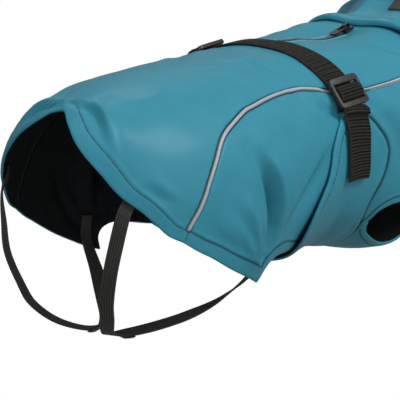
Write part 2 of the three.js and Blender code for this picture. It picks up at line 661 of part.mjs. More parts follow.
// Where the slider sits, and the middle of the bar that its tab swings on
const sliderSeat = onBody(SLIDER.at, 0, SLIDER.lift);
const sliderFront = onBody(SLIDER.at + SLIDER.length, 0, SLIDER.lift);
const sliderPitch = Math.atan2(sliderFront.z - sliderSeat.z, sliderFront.x - sliderSeat.x);
const tabPivot = new THREE.Vector3(3.4, 0, SLIDER.high + 1.1)
  .applyAxisAngle(new THREE.Vector3(0, 1, 0), -sliderPitch).add(sliderSeat);
const tabEnd = onBody(SLIDER.at - 12, 0, WALL + GAP + 2.6);
const tabDroop = Math.atan2(tabPivot.z - tabEnd.z, tabPivot.x - tabEnd.x);

// Slider body with the bridge that holds the tab
function slider(wasm) {
  const body = new THREE.BoxGeometry(SLIDER.length, SLIDER.width, SLIDER.high);
  body.translate(SLIDER.length / 2, 0, SLIDER.high / 2);
  const arch = new THREE.Shape();
  const top = BRIDGE.hole + BRIDGE.roof;
  arch.moveTo(0, -0.6);
  arch.lineTo(BRIDGE.length, -0.6);
  arch.lineTo(BRIDGE.length, top - 1);
  arch.lineTo(BRIDGE.length - 1, top);
  arch.lineTo(1, top);
  arch.lineTo(0, top - 1);
  const hole = new THREE.Path();
  hole.moveTo(BRIDGE.post, 0);
  hole.lineTo(BRIDGE.post, BRIDGE.hole);
  hole.lineTo(BRIDGE.length - BRIDGE.post, BRIDGE.hole);
  hole.lineTo(BRIDGE.length - BRIDGE.post, 0);
  arch.holes.push(hole);
  const bridge = new THREE.ExtrudeGeometry(arch, { depth: BRIDGE.width, bevelEnabled: false });
  bridge.rotateX(Math.PI / 2);
  bridge.translate(1.2, BRIDGE.width / 2, SLIDER.high);
  const joined = toManifold(wasm, body).add(toManifold(wasm, bridge));
  const geometry = fromManifold(joined);
  geometry.rotateY(-sliderPitch);
  geometry.translate(sliderSeat.x, 0, sliderSeat.z);
  return geometry;
}

// Tab that hangs on the bridge by a bar, lying back over the zip
function pullTab() {
  const { length, half, bar, slot, slotHalf, thick } = PULL;
  const shape = new THREE.Shape();
  shape.moveTo(bar, -half);
  shape.lineTo(bar, half);
  shape.lineTo(-length + 1.5, half);
  shape.lineTo(-length, half - 1.5);
  shape.lineTo(-length, -half + 1.5);
  shape.lineTo(-length + 1.5, -half);
  const hole = new THREE.Path();
  hole.moveTo(-bar, -slotHalf);
  hole.lineTo(-slot, -slotHalf);
  hole.lineTo(-slot, slotHalf);
  hole.lineTo(-bar, slotHalf);
  shape.holes.push(hole);
  const geometry = new THREE.ExtrudeGeometry(shape, { depth: thick, bevelEnabled: false });
  geometry.translate(0, 0, -thick / 2);
  geometry.rotateY(-tabDroop);
  geometry.translate(tabPivot.x, 0, tabPivot.z);
  return geometry;
}

const looks = {
  cloth: { color: 0x3b8ca4, roughness: 0.55, metalness: 0 },
  webbing: { color: 0x262422, roughness: 0.85, metalness: 0 },
  plastic: { color: 0x2b2a29, roughness: 0.5, metalness: 0 },
  piping: { color: 0xa9adb3, roughness: 0.5, metalness: 0 },
  chain: { color: 0x4b6270, roughness: 0.6, metalness: 0 },
  pull: { color: 0x1d1c1e, roughness: 0.35, metalness: 0.2 },
};
const material = (look) => new THREE.MeshStandardMaterial(looks[look]);

const wasm = await Module();
wasm.setup();

const coat = new THREE.Group();
function add(name, geometry, look) {
  const mesh = new THREE.Mesh(geometry, material(look));
  mesh.name = name;
  coat.add(mesh);
}

add('back_panel', backPanel(), 'cloth');
add('chest_panel', chestPanel(), 'cloth');
add('belly_band', bellyBand(), 'cloth');
add('collar', collar(), 'cloth');
add('belt_webbing', belt(), 'webbing');
for (const [side, sign] of [['right', 1], ['left', -1]]) {
  add(`side_panel_${side}`, sidePanel(sign), 'cloth');
  add(`piping_${side}`, piping(sign), 'piping');
  add(`buckle_${side}`, buckle(BUCKLES[side]), 'plastic');
  add(`buckle_webbing_${side}`, buckleWebbing(BUCKLES[side]), 'webbing');
  add(`webbing_tail_${side}`, tail(BUCKLES[side], sign), 'webbing');
  add(`leg_elastic_${side}`, elastic(sign), 'webbing');
  add(`zip_lip_${side}`, zipLip(sign), 'cloth');
}
add('zip_chain', zipChain(), 'chain');
add('zip_slider', slider(wasm), 'pull');
add('zip_pull', pullTab(), 'pull');

export default coat;
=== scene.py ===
import math

import bmesh
import bpy
import numpy as np
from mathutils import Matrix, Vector


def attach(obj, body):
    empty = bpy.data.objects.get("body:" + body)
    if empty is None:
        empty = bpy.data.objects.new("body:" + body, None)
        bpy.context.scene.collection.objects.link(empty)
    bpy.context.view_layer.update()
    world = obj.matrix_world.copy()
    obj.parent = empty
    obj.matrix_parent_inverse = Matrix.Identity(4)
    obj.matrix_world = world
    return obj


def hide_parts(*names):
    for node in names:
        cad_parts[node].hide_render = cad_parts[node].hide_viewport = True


# A worn raincoat for a small dog. +X to the head, +Y to the dog's left, +Z up.
# Shapes are worked out in millimetres and put into the meshes in metres.
# A place on the coat is (x, degrees round the body); positive degrees are the dog's right.

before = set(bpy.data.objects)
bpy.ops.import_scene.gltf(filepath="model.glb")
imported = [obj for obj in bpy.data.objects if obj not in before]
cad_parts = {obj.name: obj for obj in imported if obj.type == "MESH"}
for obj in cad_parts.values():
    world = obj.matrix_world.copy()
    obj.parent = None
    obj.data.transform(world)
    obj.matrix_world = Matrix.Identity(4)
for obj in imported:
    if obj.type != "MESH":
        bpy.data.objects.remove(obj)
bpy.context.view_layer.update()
toMetres = 0.001
uvPerMetre = 10               # one UV unit is 100 mm
print("frame loaded:", len(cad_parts), "nodes")


def addObject(name, data):
    # a new object at the origin, in the scene
    obj = bpy.data.objects.new(name, data)
    bpy.context.scene.collection.objects.link(obj)
    return obj


# Camera at the photograph's viewing angle
viewpoint = {
    "target": (-0.076, 0.0, -0.0966),
    "azimuth": -53.0,
    "elevation": 14.5,
    "distance": 1.6,
    "lens": 207.9,
    "sensor": 36.0,
}


def makeCamera():
    # it looks at the target from a distance, along a direction given by azimuth and elevation
    turn, lift = math.radians(viewpoint["azimuth"]), math.radians(viewpoint["elevation"])
    back = Vector((math.sin(turn) * math.cos(lift), -math.cos(turn) * math.cos(lift), math.sin(lift)))
    data = bpy.data.cameras.new("camera")
    data.lens, data.sensor_width = viewpoint["lens"], viewpoint["sensor"]
    data.clip_start, data.clip_end = 0.05, 60.0
    camera = addObject("camera", data)
    camera.location = Vector(viewpoint["target"]) + back * viewpoint["distance"]
    camera.rotation_mode = "QUATERNION"
    camera.rotation_quaternion = (-back).to_track_quat("-Z", "Y")
    bpy.context.scene.camera = camera


makeCamera()


# The body inside the coat: upright slices, each an upper and a lower half of a squared ellipse
cloth = {
    "wall": 1.6,
    "gap": 0.3,
    "mmPerDegree": 1.4,       # arc on the body for one degree round it
    "hemDepth": 9.0,
    "armHem": 4.5,            # the armholes are turned in less
    "hemSwell": 0.65,
    "pipingHalf": 1.4,
    "pipingAhead": 0.55,      # its share of that width ahead of the belt
    "slimOver": 14.0,         # x by which it has grown narrow
}
slices = np.array([           # x, top, wide, mid, low, up, down
    (-252, -30, 24, -66, -138, 2.2, 2.2),
    (-236, -17, 40, -69, -156, 2.2, 2.25),
    (-221, -8, 52, -72, -172, 2.2, 2.3),
    (-200, -3, 65, -73, -184, 2.15, 2.3),
    (-170, 1, 75, -74, -190, 2.1, 2.3),
    (-130, 2, 81, -74, -187, 2.1, 2.25),
    (-95, 2, 82, -73, -167, 2.1, 2.2),
    (-60, 1, 79, -71, -150, 2.1, 2.2),
    (-25, 0, 76.5, -69, -144, 2.15, 2.2),
    (0, 0, 76, -68, -143, 2.2, 2.25),
    (35, -1.5, 79, -71, -148, 2.4, 2.35),
    (70, -3, 81, -75, -159, 2.6, 2.85),
    (100, -2, 78, -77, -162, 2.6, 3),
    (130, 3, 67, -77, -155, 2.3, 2.7),
    (160, 10, 54, -73, -131, 2.1, 2.2),
    (190, 16, 40, -67, -100, 2.1, 2.1),
], float)

# Folds as [x, degrees] lines: depth, width to each side, how much is left at the ends
largeFolds = [
    {"depth": -4.2, "width": 7.5,
     "line": [(-120, 66), (-113, 77), (-107, 88), (-103, 98), (-102, 108), (-106, 119)]},
    {"depth": 2.6, "width": 10, "line": [(-101, 68), (-92, 82), (-84, 94), (-79, 106)]},
    {"depth": 3.4, "width": 10,
     "line": [(-138, 84), (-131, 92), (-126, 101), (-122, 111), (-115, 124)]},
    {"depth": 1.8, "width": 10, "line": [(-160, 92), (-148, 101), (-135, 110)]},
    {"depth": -1.8, "width": 10, "line": [(-36, 84), (-50, 94), (-62, 101), (-78, 112), (-88, 118)]},
    {"depth": 1.7, "width": 9, "line": [(-216, 4), (-211, 16), (-211, 28), (-214, 42)]},
    {"depth": -1.8, "width": 7, "line": [(-226, 14), (-222, 24), (-222, 38)]},
    {"depth": 1.6, "width": 11, "line": [(-70, 12), (-40, 20), (-18, 28)]},
    {"depth": -5.5, "width": 19, "line": [(38, 0), (62, 0), (86, 0), (112, 0), (160, 0)]},
]
creases = [
    # the long ridge of light on the back and the one in front of the belt
    {"depth": 0.9, "width": 3.4, "end": 0,
     "line": [(-118, 3), (-97, 12), (-75, 20.5), (-62, 27.5), (-53, 33.5), (-40, 43)]},
    {"depth": -0.8, "width": 5, "end": 0, "line": [(-92, 6), (-70, 14), (-55, 22), (-44, 30)]},
    {"depth": 0.8, "width": 3.6, "end": 0, "line": [(-16, 0), (-20, 6), (-23, 17), (-27, 27)]},
    {"depth": -0.9, "width": 5, "end": 0, "line": [(-30, 8), (-36, 20), (-38, 30)]},
    # dimples drawn in by the belt
    {"depth": -1.4, "width": 5, "end": 0, "line": [(-52, 46), (-46, 51), (-38, 56)]},
    {"depth": -1.7, "width": 4.5, "end": 0, "line": [(-30, 58), (-22, 61), (-13, 65)]},
    {"depth": -3.4, "width": 4.6, "end": 0, "line": [(-22, 62), (-13, 66), (-6, 69)]},
    {"depth": -0.9, "width": 5, "end": 0, "line": [(-70, 36), (-62, 41), (-52, 44)]},
    {"depth": -1.1, "width": 5, "end": 0, "line": [(15, 62), (26, 66), (40, 70)]},
    # steep side of the deep valley and the plateau before it
    {"depth": 3.3, "width": 3.4, "end": 0,
     "line": [(-105, 71), (-101, 79), (-97.5, 88), (-95.5, 98), (-96, 107), (-99, 115), (-105, 122)]},
    {"depth": -6.0, "width": 4.2, "end": 0,
     "line": [(-113, 70), (-109.5, 78), (-106, 87), (-103.5, 96), (-103.5, 106), (-107, 115), (-114, 123)]},
    {"depth": -2.7, "width": 5.5, "end": 0,
     "line": [(-22, 79), (-41, 88.5), (-56, 97.5), (-72, 104), (-94, 113)]},
    {"depth": 0.7, "width": 4, "end": 0, "line": [(-30, 76), (-50, 86), (-66, 95), (-80, 100)]},
    # sharp creases that gather at the flank corner
    {"depth": 1.5, "width": 2.8, "end": 0.3,
     "line": [(-133, 92), (-127, 98.5), (-123.5, 107), (-118, 115.5), (-109, 126)]},
    {"depth": -1.7, "width": 3.4, "end": 0.1,
     "line": [(-124, 97), (-119.5, 105), (-115, 114), (-107, 124)]},
    {"depth": 0.9, "width": 3.4, "end": 0.1,
     "line": [(-150, 94), (-139, 103), (-127, 113), (-112, 125)]},
    {"depth": -0.9, "width": 4, "end": 0.1, "line": [(-143, 94), (-132, 104), (-121, 114)]},
    {"depth": -0.8, "width": 5, "end": 0, "line": [(-168, 98), (-152, 106), (-134, 115)]},
    {"depth": -0.9, "width": 6, "end": 0, "line": [(-152, 76), (-140, 82), (-132, 90)]},
    # pale ridge on the back behind the belt
    {"depth": 1.5, "width": 3.0, "end": 0,
     "line": [(-62, 10), (-59, 16.5), (-56.5, 22.5), (-53, 28.5), (-48, 34.5), (-44, 40)]},
    {"depth": -1.2, "width": 3.6, "end": 0,
     "line": [(-55, 12), (-52, 18.5), (-49.5, 24.5), (-46, 30), (-42, 36)]},
    # rump, above the hem
    {"depth": 2.4, "width": 3.0, "end": 0,
     "line": [(-212, -8), (-209, 4), (-208.5, 14), (-211, 22), (-215, 29), (-219, 38), (-221, 50)]},
    {"depth": -2.6, "width": 3.2, "end": 0,
     "line": [(-217, -4), (-215.5, 6), (-215, 16), (-217, 23), (-220, 30)]},
    {"depth": -1.0, "width": 4, "end": 0, "line": [(-212, 66), (-204, 76), (-194, 84)]},
    {"depth": 0.7, "width": 4, "end": 0, "line": [(-206, 64), (-198, 74), (-186, 82)]},
    {"depth": -1.1, "width": 4, "end": 0, "line": [(-218, 6), (-205, 12), (-190, 14)]},
    {"depth": 0.8, "width": 5, "end": 0, "line": [(-196, 20), (-176, 26), (-150, 24)]},
    # shoulder: the fold that curves round the band's front edge, and drag lines to the neck
    {"depth": -1.5, "width": 5.5, "end": 0,
     "line": [(24, 70), (38, 74), (47, 82), (52, 92), (50, 106)]},
    {"depth": 1.0, "width": 5, "end": 0, "line": [(34, 66), (50, 70), (59, 80), (62, 94)]},
    {"depth": -1.3, "width": 6, "end": 0, "line": [(60, 60), (78, 70), (92, 84), (100, 98)]},
    {"depth": 1.0, "width": 5, "end": 0, "line": [(76, 58), (94, 70), (106, 84)]},
    {"depth": -1.4, "width": 6, "end": 0, "line": [(64, 22), (82, 32), (100, 46), (112, 60)]},
    {"depth": 0.9, "width": 6, "end": 0, "line": [(52, 20), (70, 32), (88, 46)]},
    {"depth": -1.0, "width": 5, "end": 0, "line": [(112, 72), (100, 88), (90, 104)]},
    # belly
    {"depth": -1.2, "width": 7, "end": 0, "line": [(-10, 112), (-6, 130), (2, 150)]},
    {"depth": 0.9, "width": 6, "end": 0, "line": [(14, 116), (12, 134), (16, 156)]},
    {"depth": -0.9, "width": 6, "end": 0, "line": [(100, 150), (96, 166), (100, 180)]},
]
leftSide = {"shift": 5.0, "turn": 2.5, "least": 0.65, "most": 1.15}  # the dog's left has its own creases
leftShoulder = {"depth": 3.4, "width": 13, "end": 0.35, "line": [(52, 20), (76, 21), (98, 24), (110, 27)]}


def leftCreases():
    # each crease of the right side, moved and deepened or flattened by a seeded draw
    rng = np.random.default_rng(11)
    rows = []
    for row in creases:
        dx, dt = rng.uniform(-1, 1) * leftSide["shift"], rng.uniform(-1, 1) * leftSide["turn"]
        rows.append({**row, "depth": row["depth"] * rng.uniform(leftSide["least"], leftSide["most"]),
                     "line": [(x + dx, deg + dt) for x, deg in row["line"]]})
    return [*rows, leftShoulder]


creasesLeft = leftCreases()


def cubic(at, values, where):
    # cubic between rows, with the slope at each row taken from its two neighbours
    slope = np.empty_like(values)
    span = (at[2:] - at[:-2]).reshape((-1,) + (1,) * (values.ndim - 1))
    slope[1:-1] = (values[2:] - values[:-2]) / span
    slope[0] = (values[1] - values[0]) / (at[1] - at[0])
    slope[-1] = (values[-1] - values[-2]) / (at[-1] - at[-2])
    i = np.clip(np.searchsorted(at, where, side="right") - 1, 0, len(at) - 2)
    step = at[i + 1] - at[i]
    t = np.clip((where - at[i]) / step, 0, 1)
    deeper = t.shape + (1,) * (values.ndim - 1)
    t, step = t.reshape(deeper), step.reshape(deeper)
    return ((2 * t**3 - 3 * t**2 + 1) * values[i] + (t**3 - 2 * t**2 + t) * step * slope[i]
            + (3 * t**2 - 2 * t**3) * values[i + 1] + (t**3 - t**2) * step * slope[i + 1])


def smoothStep(value, start, end):
    u = np.clip((value - start) / (end - start), 0, 1)
    return u * u * (3 - 2 * u)


def unit(v):
    return v / np.maximum(np.linalg.norm(v, axis=-1, keepdims=True), 1e-9)


def foldHeight(x, side, rows):
    # sum over the folds of depth x fade along the line x a bell across it
    total = np.zeros(x.shape)
    for row in rows:
        line = np.array(row["line"], float)
        best, along = np.full(x.shape, np.inf), np.zeros(x.shape)
        for i in range(len(line) - 1):
            dx, dy = line[i + 1] - line[i]
            dy *= cloth["mmPerDegree"]
            px, py = x - line[i, 0], (side - line[i, 1]) * cloth["mmPerDegree"]
            t = np.clip((px * dx + py * dy) / (dx * dx + dy * dy), 0, 1)
            d = np.hypot(px - t * dx, py - t * dy)
            closer = d < best
            best, along = np.where(closer, d, best), np.where(closer, (i + t) / (len(line) - 1), along)
        end = row.get("end", 0.25)
        fade = end + (1 - end) * np.sin(np.pi * np.clip(along, 0.02, 0.98))
        total += row["depth"] * fade * np.exp(-((best / row["width"]) ** 2))
    return total


def ripple(x, deg):
    # slow uneven swell of the cloth: a few crossing waves of 25 to 60 mm
    y = deg * cloth["mmPerDegree"]
    return (0.14 * np.sin(0.11 * x + 0.05 * y + 0.6) * np.sin(0.07 * y - 0.03 * x)
            + 0.05 * np.sin(0.21 * x - 0.13 * y + 1.9) + 0.05 * np.sin(0.17 * y + 0.09 * x + 4.0))


def halfTurn(deg):
    # degrees down from the spine, the same on both sides
    deg = np.abs(deg)
    return np.where(deg > 180, 360 - deg, deg)


def coatFolds(x, deg):
    # large folds on both sides, each side's own creases, and the slow swell
    side = halfTurn(deg)
    right = (deg > 0) & (deg < 180)
    fine = np.where(right, foldHeight(x, side, creases), foldHeight(x, side, creasesLeft))
    return foldHeight(x, side, largeFolds) + fine + ripple(x, deg)


def smoothBody(x, deg):
    # from the slice's middle outward by r = 1 / ((|sin| / wide)^p + (|cos| / high)^p)^(1/p)
    turn = np.radians(deg)
    s, c = np.sin(turn), np.cos(turn)
    top, wide, mid, low, up, down = (cubic(slices[:, 0], slices[:, k], x) for k in range(1, 7))
    high, power = np.where(c > 0, top - mid, mid - low), np.where(c > 0, up, down)
    r = 1 / ((np.abs(s) / wide) ** power + (np.abs(c) / high) ** power) ** (1 / power)
    return np.stack([x, -r * s, mid + r * c], -1)


def bodyNormal(x, deg):
    # across both surface directions, taken as small differences
    along = smoothBody(x + 0.5, deg) - smoothBody(x - 0.5, deg)
    around = smoothBody(x, deg + 0.4) - smoothBody(x, deg - 0.4)
    return unit(np.cross(around, along))


def onCoat(x, deg, out=0.0):
    # point `out` millimetres outside the cloth's inner face, folds included
    x, deg = np.broadcast_arrays(np.asarray(x, float), np.asarray(deg, float))
    lift = np.broadcast_to(np.asarray(out, float), x.shape) + coatFolds(x, deg)
    return smoothBody(x, deg) + bodyNormal(x, deg) * lift[..., None]


# Outlines of the pieces on the dog's right, [x, degrees]; the left ones mirror them
hemLine = [(-222, 0), (-230, 12), (-235, 24), (-235.5, 38), (-231.5, 55), (-224.5, 72), (-213, 85),
           (-205.6, 93), (-197.6, 100), (-187, 104.6), (-175, 109), (-164, 112.6), (-144.5, 119.5),
           (-122, 126.6), (-104, 133.5)]
pipedSeam = [(-187, 104), (-183, 96.3), (-176.5, 88.9), (-170.7, 81.9), (-165.8, 76), (-156.9, 67.9),
             (-146, 59.8), (-138, 56), (-127, 52.9), (-107.9, 48.7), (-97.8, 47.9), (-80.6, 46.6),
             (-59, 45.8), (-37.3, 47.0), (-20, 50.6), (-8, 54), (10, 56.8), (27.2, 57.5), (53, 56.4),
             (74.9, 54.6), (98, 52), (128.0, 50)]
flankHem = [(-104, 133.5), (-101, 128), (-94, 125.2), (-80.8, 125.6), (-56.8, 133.3), (-34, 140.3),
            (-8, 148), (14, 150), (27, 141), (39.5, 129)]
armTop = [(39.5, 129), (42.5, 123.5), (50, 119.5), (60, 117.3), (72, 116), (90, 116), (110, 119), (125, 126),
          (131, 134)]
armLow = [(39.5, 129), (42, 133.5), (48, 138), (57, 141.3), (68, 144), (80, 146.3), (95, 147), (110, 145.5),
          (122, 141), (131, 134)]
bandRear = [(-7, 67), (-13, 70.3), (-21.3, 75.5), (-27.1, 81), (-30.6, 87.4), (-37.1, 96.3), (-45.2, 103.8),
            (-51.7, 110.8), (-55.8, 118.1), (-56, 124), (-52, 132), (-42, 145), (-34, 160), (-30, 180)]
bandFront = [(14, 67.5), (18.7, 71), (24, 74.5), (29, 78.6), (34.5, 83.2), (38.3, 89), (37.6, 95),
             (34.8, 101.6), (30.8, 108.3), (27.6, 113.5), (26.4, 118.1), (27, 123), (29.5, 129.3), (32, 134),
             (35.5, 141.3), (39, 150), (40, 160), (40, 180)]
neckline = {"nape": 118.0, "reach": 56.0}
seamFoot = pipedSeam[0][1]     # degrees at which the piped seam meets the rear hem


def neckX(deg):
    # the neckline slants forward from the nape to the throat, as half a cosine wave
    return neckline["nape"] + (1 - np.cos(np.radians(deg))) / 2 * neckline["reach"]


def reachOf(line):
    # distance on the body from the line's first point to each of its points
    step = np.hypot(np.diff(line[:, 0]), np.diff(line[:, 1]) * cloth["mmPerDegree"])
    return np.concatenate([[0], np.cumsum(step)])


def dense(points, count=900):
    # smooth line through the points, evenly spaced on the body
    line = np.array(points, float)
    reach = reachOf(line)
    return cubic(reach, line, np.linspace(0, reach[-1], count))


def lineAt(line, t):
    # points at fractions t of the line's length
    reach = reachOf(line)
    return np.stack([np.interp(np.asarray(t) * reach[-1], reach, line[:, k]) for k in (0, 1)], -1)


def beside(line, by):
    # the line moved sideways by `by` millimetres (one value, or one for each point)
    d = unit(np.gradient(line, axis=0) * [1, cloth["mmPerDegree"]])
    by = np.broadcast_to(by, len(line))
    return line + np.stack([-d[:, 1] * by, d[:, 0] * by / cloth["mmPerDegree"]], -1)


def mirrored(line):
    # the same line on the dog's left
    return np.array(line, float) * [1, -1]


def patch(rear, front, first, last, s, t):
    # Coons patch: rows blended from rear to front, plus columns from first to last, less the blended corners
    r, f = lineAt(rear, t)[None], lineAt(front, t)[None]
    a, b = lineAt(first, s)[:, None], lineAt(last, s)[:, None]
    s, t = s[:, None, None], t[None, :, None]
    corners = (1 - s) * (1 - t) * a[:1] + (1 - s) * t * b[:1] + s * (1 - t) * a[-1:] + s * t * b[-1:]
    return (1 - s) * r + s * f + (1 - t) * a + t * b - corners


def fineSteps(length, step, marks, least=0.22, spread=0.2):
    # fractions of a length, `step` apart, drawing together at the marks (in millimetres)
    at = [0.0]
    while at[-1] < length:
        near = min((abs(at[-1] + least - m) for m in marks), default=length)
        at.append(at[-1] + min(step, least + spread * near))
    return np.array(at) / at[-1]


def distances(points):
    # for a grid: how far each point lies from the first row, last row, first column, last column
    down = np.cumsum(np.linalg.norm(np.diff(points, axis=0), axis=-1), axis=0)
    down = np.concatenate([np.zeros((1, points.shape[1])), down])
    over = np.cumsum(np.linalg.norm(np.diff(points, axis=1), axis=-1), axis=1)
    over = np.concatenate([np.zeros((points.shape[0], 1)), over], axis=1)
    return down, down[-1:] - down, over, over[:, -1:] - over


def awayFrom(line, place):
    # distance in millimetres on the body from each place to the nearest point of the line
    scale = np.array([1, cloth["mmPerDegree"]])
    pts, at = line[::6] * scale, place * scale
    best = np.full(place.shape[:-1], np.inf)
    for a, b in zip(pts[:-1], pts[1:]):
        along = b - a
        t = np.clip(((at - a) @ along) / (along @ along), 0, 1)
        best = np.minimum(best, np.linalg.norm(at - a - t[..., None] * along, axis=-1))
    return best


def foldedOver(place):
    # the same place on the dog's right
    return np.stack([place[..., 0], halfTurn(place[..., 1])], -1)


def addMesh(name, points, faces, uv=None, inner=None, dark=None):
    # points in millimetres; uv and dark (painted shade) one value for each point; inner marks faces of the
    # second material
    mesh = bpy.data.meshes.new(name)
    mesh.from_pydata((points * toMetres).tolist(), [], faces)
    if uv is not None:
        layer = mesh.uv_layers.new(name="UVMap")
        corner = np.zeros(len(mesh.loops), np.int32)
        mesh.loops.foreach_get("vertex_index", corner)
        layer.data.foreach_set("uv", np.asarray(uv, np.float32)[corner].ravel())
    if inner is not None:
        mesh.polygons.foreach_set("material_index", np.asarray(inner, np.int32))
    mesh.polygons.foreach_set("use_smooth", np.ones(len(mesh.polygons), bool))
    # painted shade, kept on the points for the material to darken its colour by
    if dark is not None:
        values = mesh.attributes.new("paintedShade", "FLOAT", "POINT")
        values.data.foreach_set("value", np.asarray(dark, np.float32))
    mesh.validate()
    return addObject(name, mesh)


def wallFaces(rows, cols, ring=False):
    # closed wall: outer grid, inner grid and the strips that join their edges
    def index(i, j, face):
        return face * rows * cols + i * cols + (j % cols)
    spans = cols if ring else cols - 1
    i, j = np.meshgrid(np.arange(rows - 1), np.arange(spans), indexing="ij")
    i, j = i.ravel(), j.ravel()
    outer = np.stack([index(i, j, 0), index(i + 1, j, 0), index(i + 1, j + 1, 0), index(i, j + 1, 0)], -1)
    inner = np.stack([index(i, j, 1), index(i, j + 1, 1), index(i + 1, j + 1, 1), index(i + 1, j, 1)], -1)
    k = np.arange(spans)
    end = rows - 1
    edges = [np.stack([index(0, k, 0), index(0, k + 1, 0), index(0, k + 1, 1), index(0, k, 1)], -1),
             np.stack([index(end, k, 0), index(end, k, 1), index(end, k + 1, 1), index(end, k + 1, 0)], -1)]
    if not ring:
        m, last = np.arange(rows - 1), cols - 1
        edges.append(np.stack([index(m, 0, 0), index(m, 0, 1), index(m + 1, 0, 1), index(m + 1, 0, 0)], -1))
        edges.append(np.stack([index(m, last, 0), index(m + 1, last, 0), index(m + 1, last, 1),
                               index(m, last, 1)], -1))
    faces = np.concatenate([outer, inner, *edges])
    second = np.zeros(len(faces), int)
    second[len(outer):len(outer) + len(inner)] = 1
    return faces, second


def addWall(name, outer, inner, ring=False, dark=None, darkInside=0.0):
    # closed wall between two grids, turned inside out if its volume comes out negative
    rows, cols = outer.shape[:2]
    faces, second = wallFaces(rows, cols, ring)
    # painted shade: dark on the outer grid, darkInside on the inner one
    if dark is not None:
        dark = np.concatenate([np.clip(dark, 0, 1).ravel(), np.full(rows * cols, darkInside)])
    points = np.concatenate([outer.reshape(-1, 3), inner.reshape(-1, 3)])
    a, b, c = (points[faces[:, k]] for k in (0, 1, 2))
    if (a * np.cross(b, c)).sum() < 0:
        faces = faces[:, ::-1]
    down, _, over, _ = distances(outer)
    uv = np.stack([over, down], -1).reshape(-1, 2) * toMetres * uvPerMetre
    return addMesh(name, points, faces.tolist(), np.concatenate([uv, uv]), second, dark)


def spindleFaces(count, rings, around, flipped=False):
    # closed spindles, one after another in the points: quads between the rings and a cap at each end
    i, j, k = np.meshgrid(np.arange(count), np.arange(rings - 1), np.arange(around), indexing="ij")
    base, after = (i * rings + j) * around, (k + 1) % around
    sides = np.stack([base + k, base + after, base + around + after, base + around + k], -1).reshape(-1, 4)
    begin = np.arange(count)[:, None] * rings * around
    caps = np.concatenate([begin + np.arange(around)[::-1], begin + (rings - 1) * around + np.arange(around)])
    if flipped:
        sides, caps = np.roll(sides[:, ::-1], 1, axis=1), caps[:, ::-1]
    return sides.tolist() + caps.tolist()


def finishPiece(obj, slot, *surfaces, replaces=()):
    for surface in surfaces:
        obj.data.materials.append(surface)
    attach(obj, "root")
    if replaces:
        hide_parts(*replaces)
    return obj


def cutSize(points):
    # flat size of a piece from the lengths of its middle and widest rows, and its area
    down, _, over, _ = distances(points)
    quad = np.cross(points[1:, 1:] - points[:-1, :-1], points[1:, :-1] - points[:-1, 1:])
    area = np.linalg.norm(quad, axis=-1).sum() / 2
    return (over[:, -1].max() * toMetres, down[-1].max() * toMetres), area * toMetres**2


def declareCloth(obj, points):
    # prints the piece's flat cut: its size and area
    flat, area = cutSize(points)
    area = min(area, flat[0] * flat[1])
    print(f"{obj.name}: cut {flat[0] * 1000:.0f} x {flat[1] * 1000:.0f} mm, {area * 1e4:.0f} cm2")


# Materials
def nodeTree(owner):
    # an empty node tree
    owner.use_nodes = True
    tree = owner.node_tree
    tree.nodes.clear()
    return tree


def addNode(tree, kind, **values):
    # each value goes to the socket of that name, or else to the node's own setting
    node = tree.nodes.new(kind)
    for name, value in values.items():
        if name in node.inputs:
            node.inputs[name].default_value = value
        else:
            setattr(node, name, value)
    return node


def grainGroup():
    # uneven colour and height of a coated cloth or plastic: broad patches, fine grain, a weave
    tree = bpy.data.node_groups.new("surfaceGrain", "ShaderNodeTree")
    for name, kind in (("Vector", "NodeSocketVector"), ("Patch Scale", "NodeSocketFloat"),
                       ("Grain Scale", "NodeSocketFloat"), ("Weave Scale", "NodeSocketFloat")):
        tree.interface.new_socket(name=name, in_out="INPUT", socket_type=kind)
    for name in ("Patch", "Grain", "Weave"):
        tree.interface.new_socket(name=name, in_out="OUTPUT", socket_type="NodeSocketFloat")
    begin, end = addNode(tree, "NodeGroupInput"), addNode(tree, "NodeGroupOutput")
    patchNoise = addNode(tree, "ShaderNodeTexNoise", Detail=3.0, Roughness=0.55)
    grainNoise = addNode(tree, "ShaderNodeTexNoise", Detail=2.0, Roughness=0.6)
    for noise, scale, out in ((patchNoise, "Patch Scale", "Patch"), (grainNoise, "Grain Scale", "Grain")):
        tree.links.new(begin.outputs["Vector"], noise.inputs["Vector"])
        tree.links.new(begin.outputs[scale], noise.inputs["Scale"])
        tree.links.new(noise.outputs["Fac"], end.inputs[out])
    waves = []
    for direction in ("X", "Y"):
        wave = addNode(tree, "ShaderNodeTexWave", wave_type="BANDS", bands_direction=direction,
                       Distortion=0.6)
        wave.inputs["Detail"].default_value = 1.0
        tree.links.new(begin.outputs["Vector"], wave.inputs["Vector"])
        tree.links.new(begin.outputs["Weave Scale"], wave.inputs["Scale"])
        waves.append(wave)
    both = addNode(tree, "ShaderNodeMath", operation="MULTIPLY")
    tree.links.new(waves[0].outputs["Fac"], both.inputs[0])
    tree.links.new(waves[1].outputs["Fac"], both.inputs[1])
    tree.links.new(both.outputs[0], end.inputs["Weave"])
    return tree


surfaceGrain = grainGroup()
mixSocket = {"share": 0, "first": 6, "second": 7, "result": 2}    # the colour sockets of a Mix node
roughSpread = 0.05


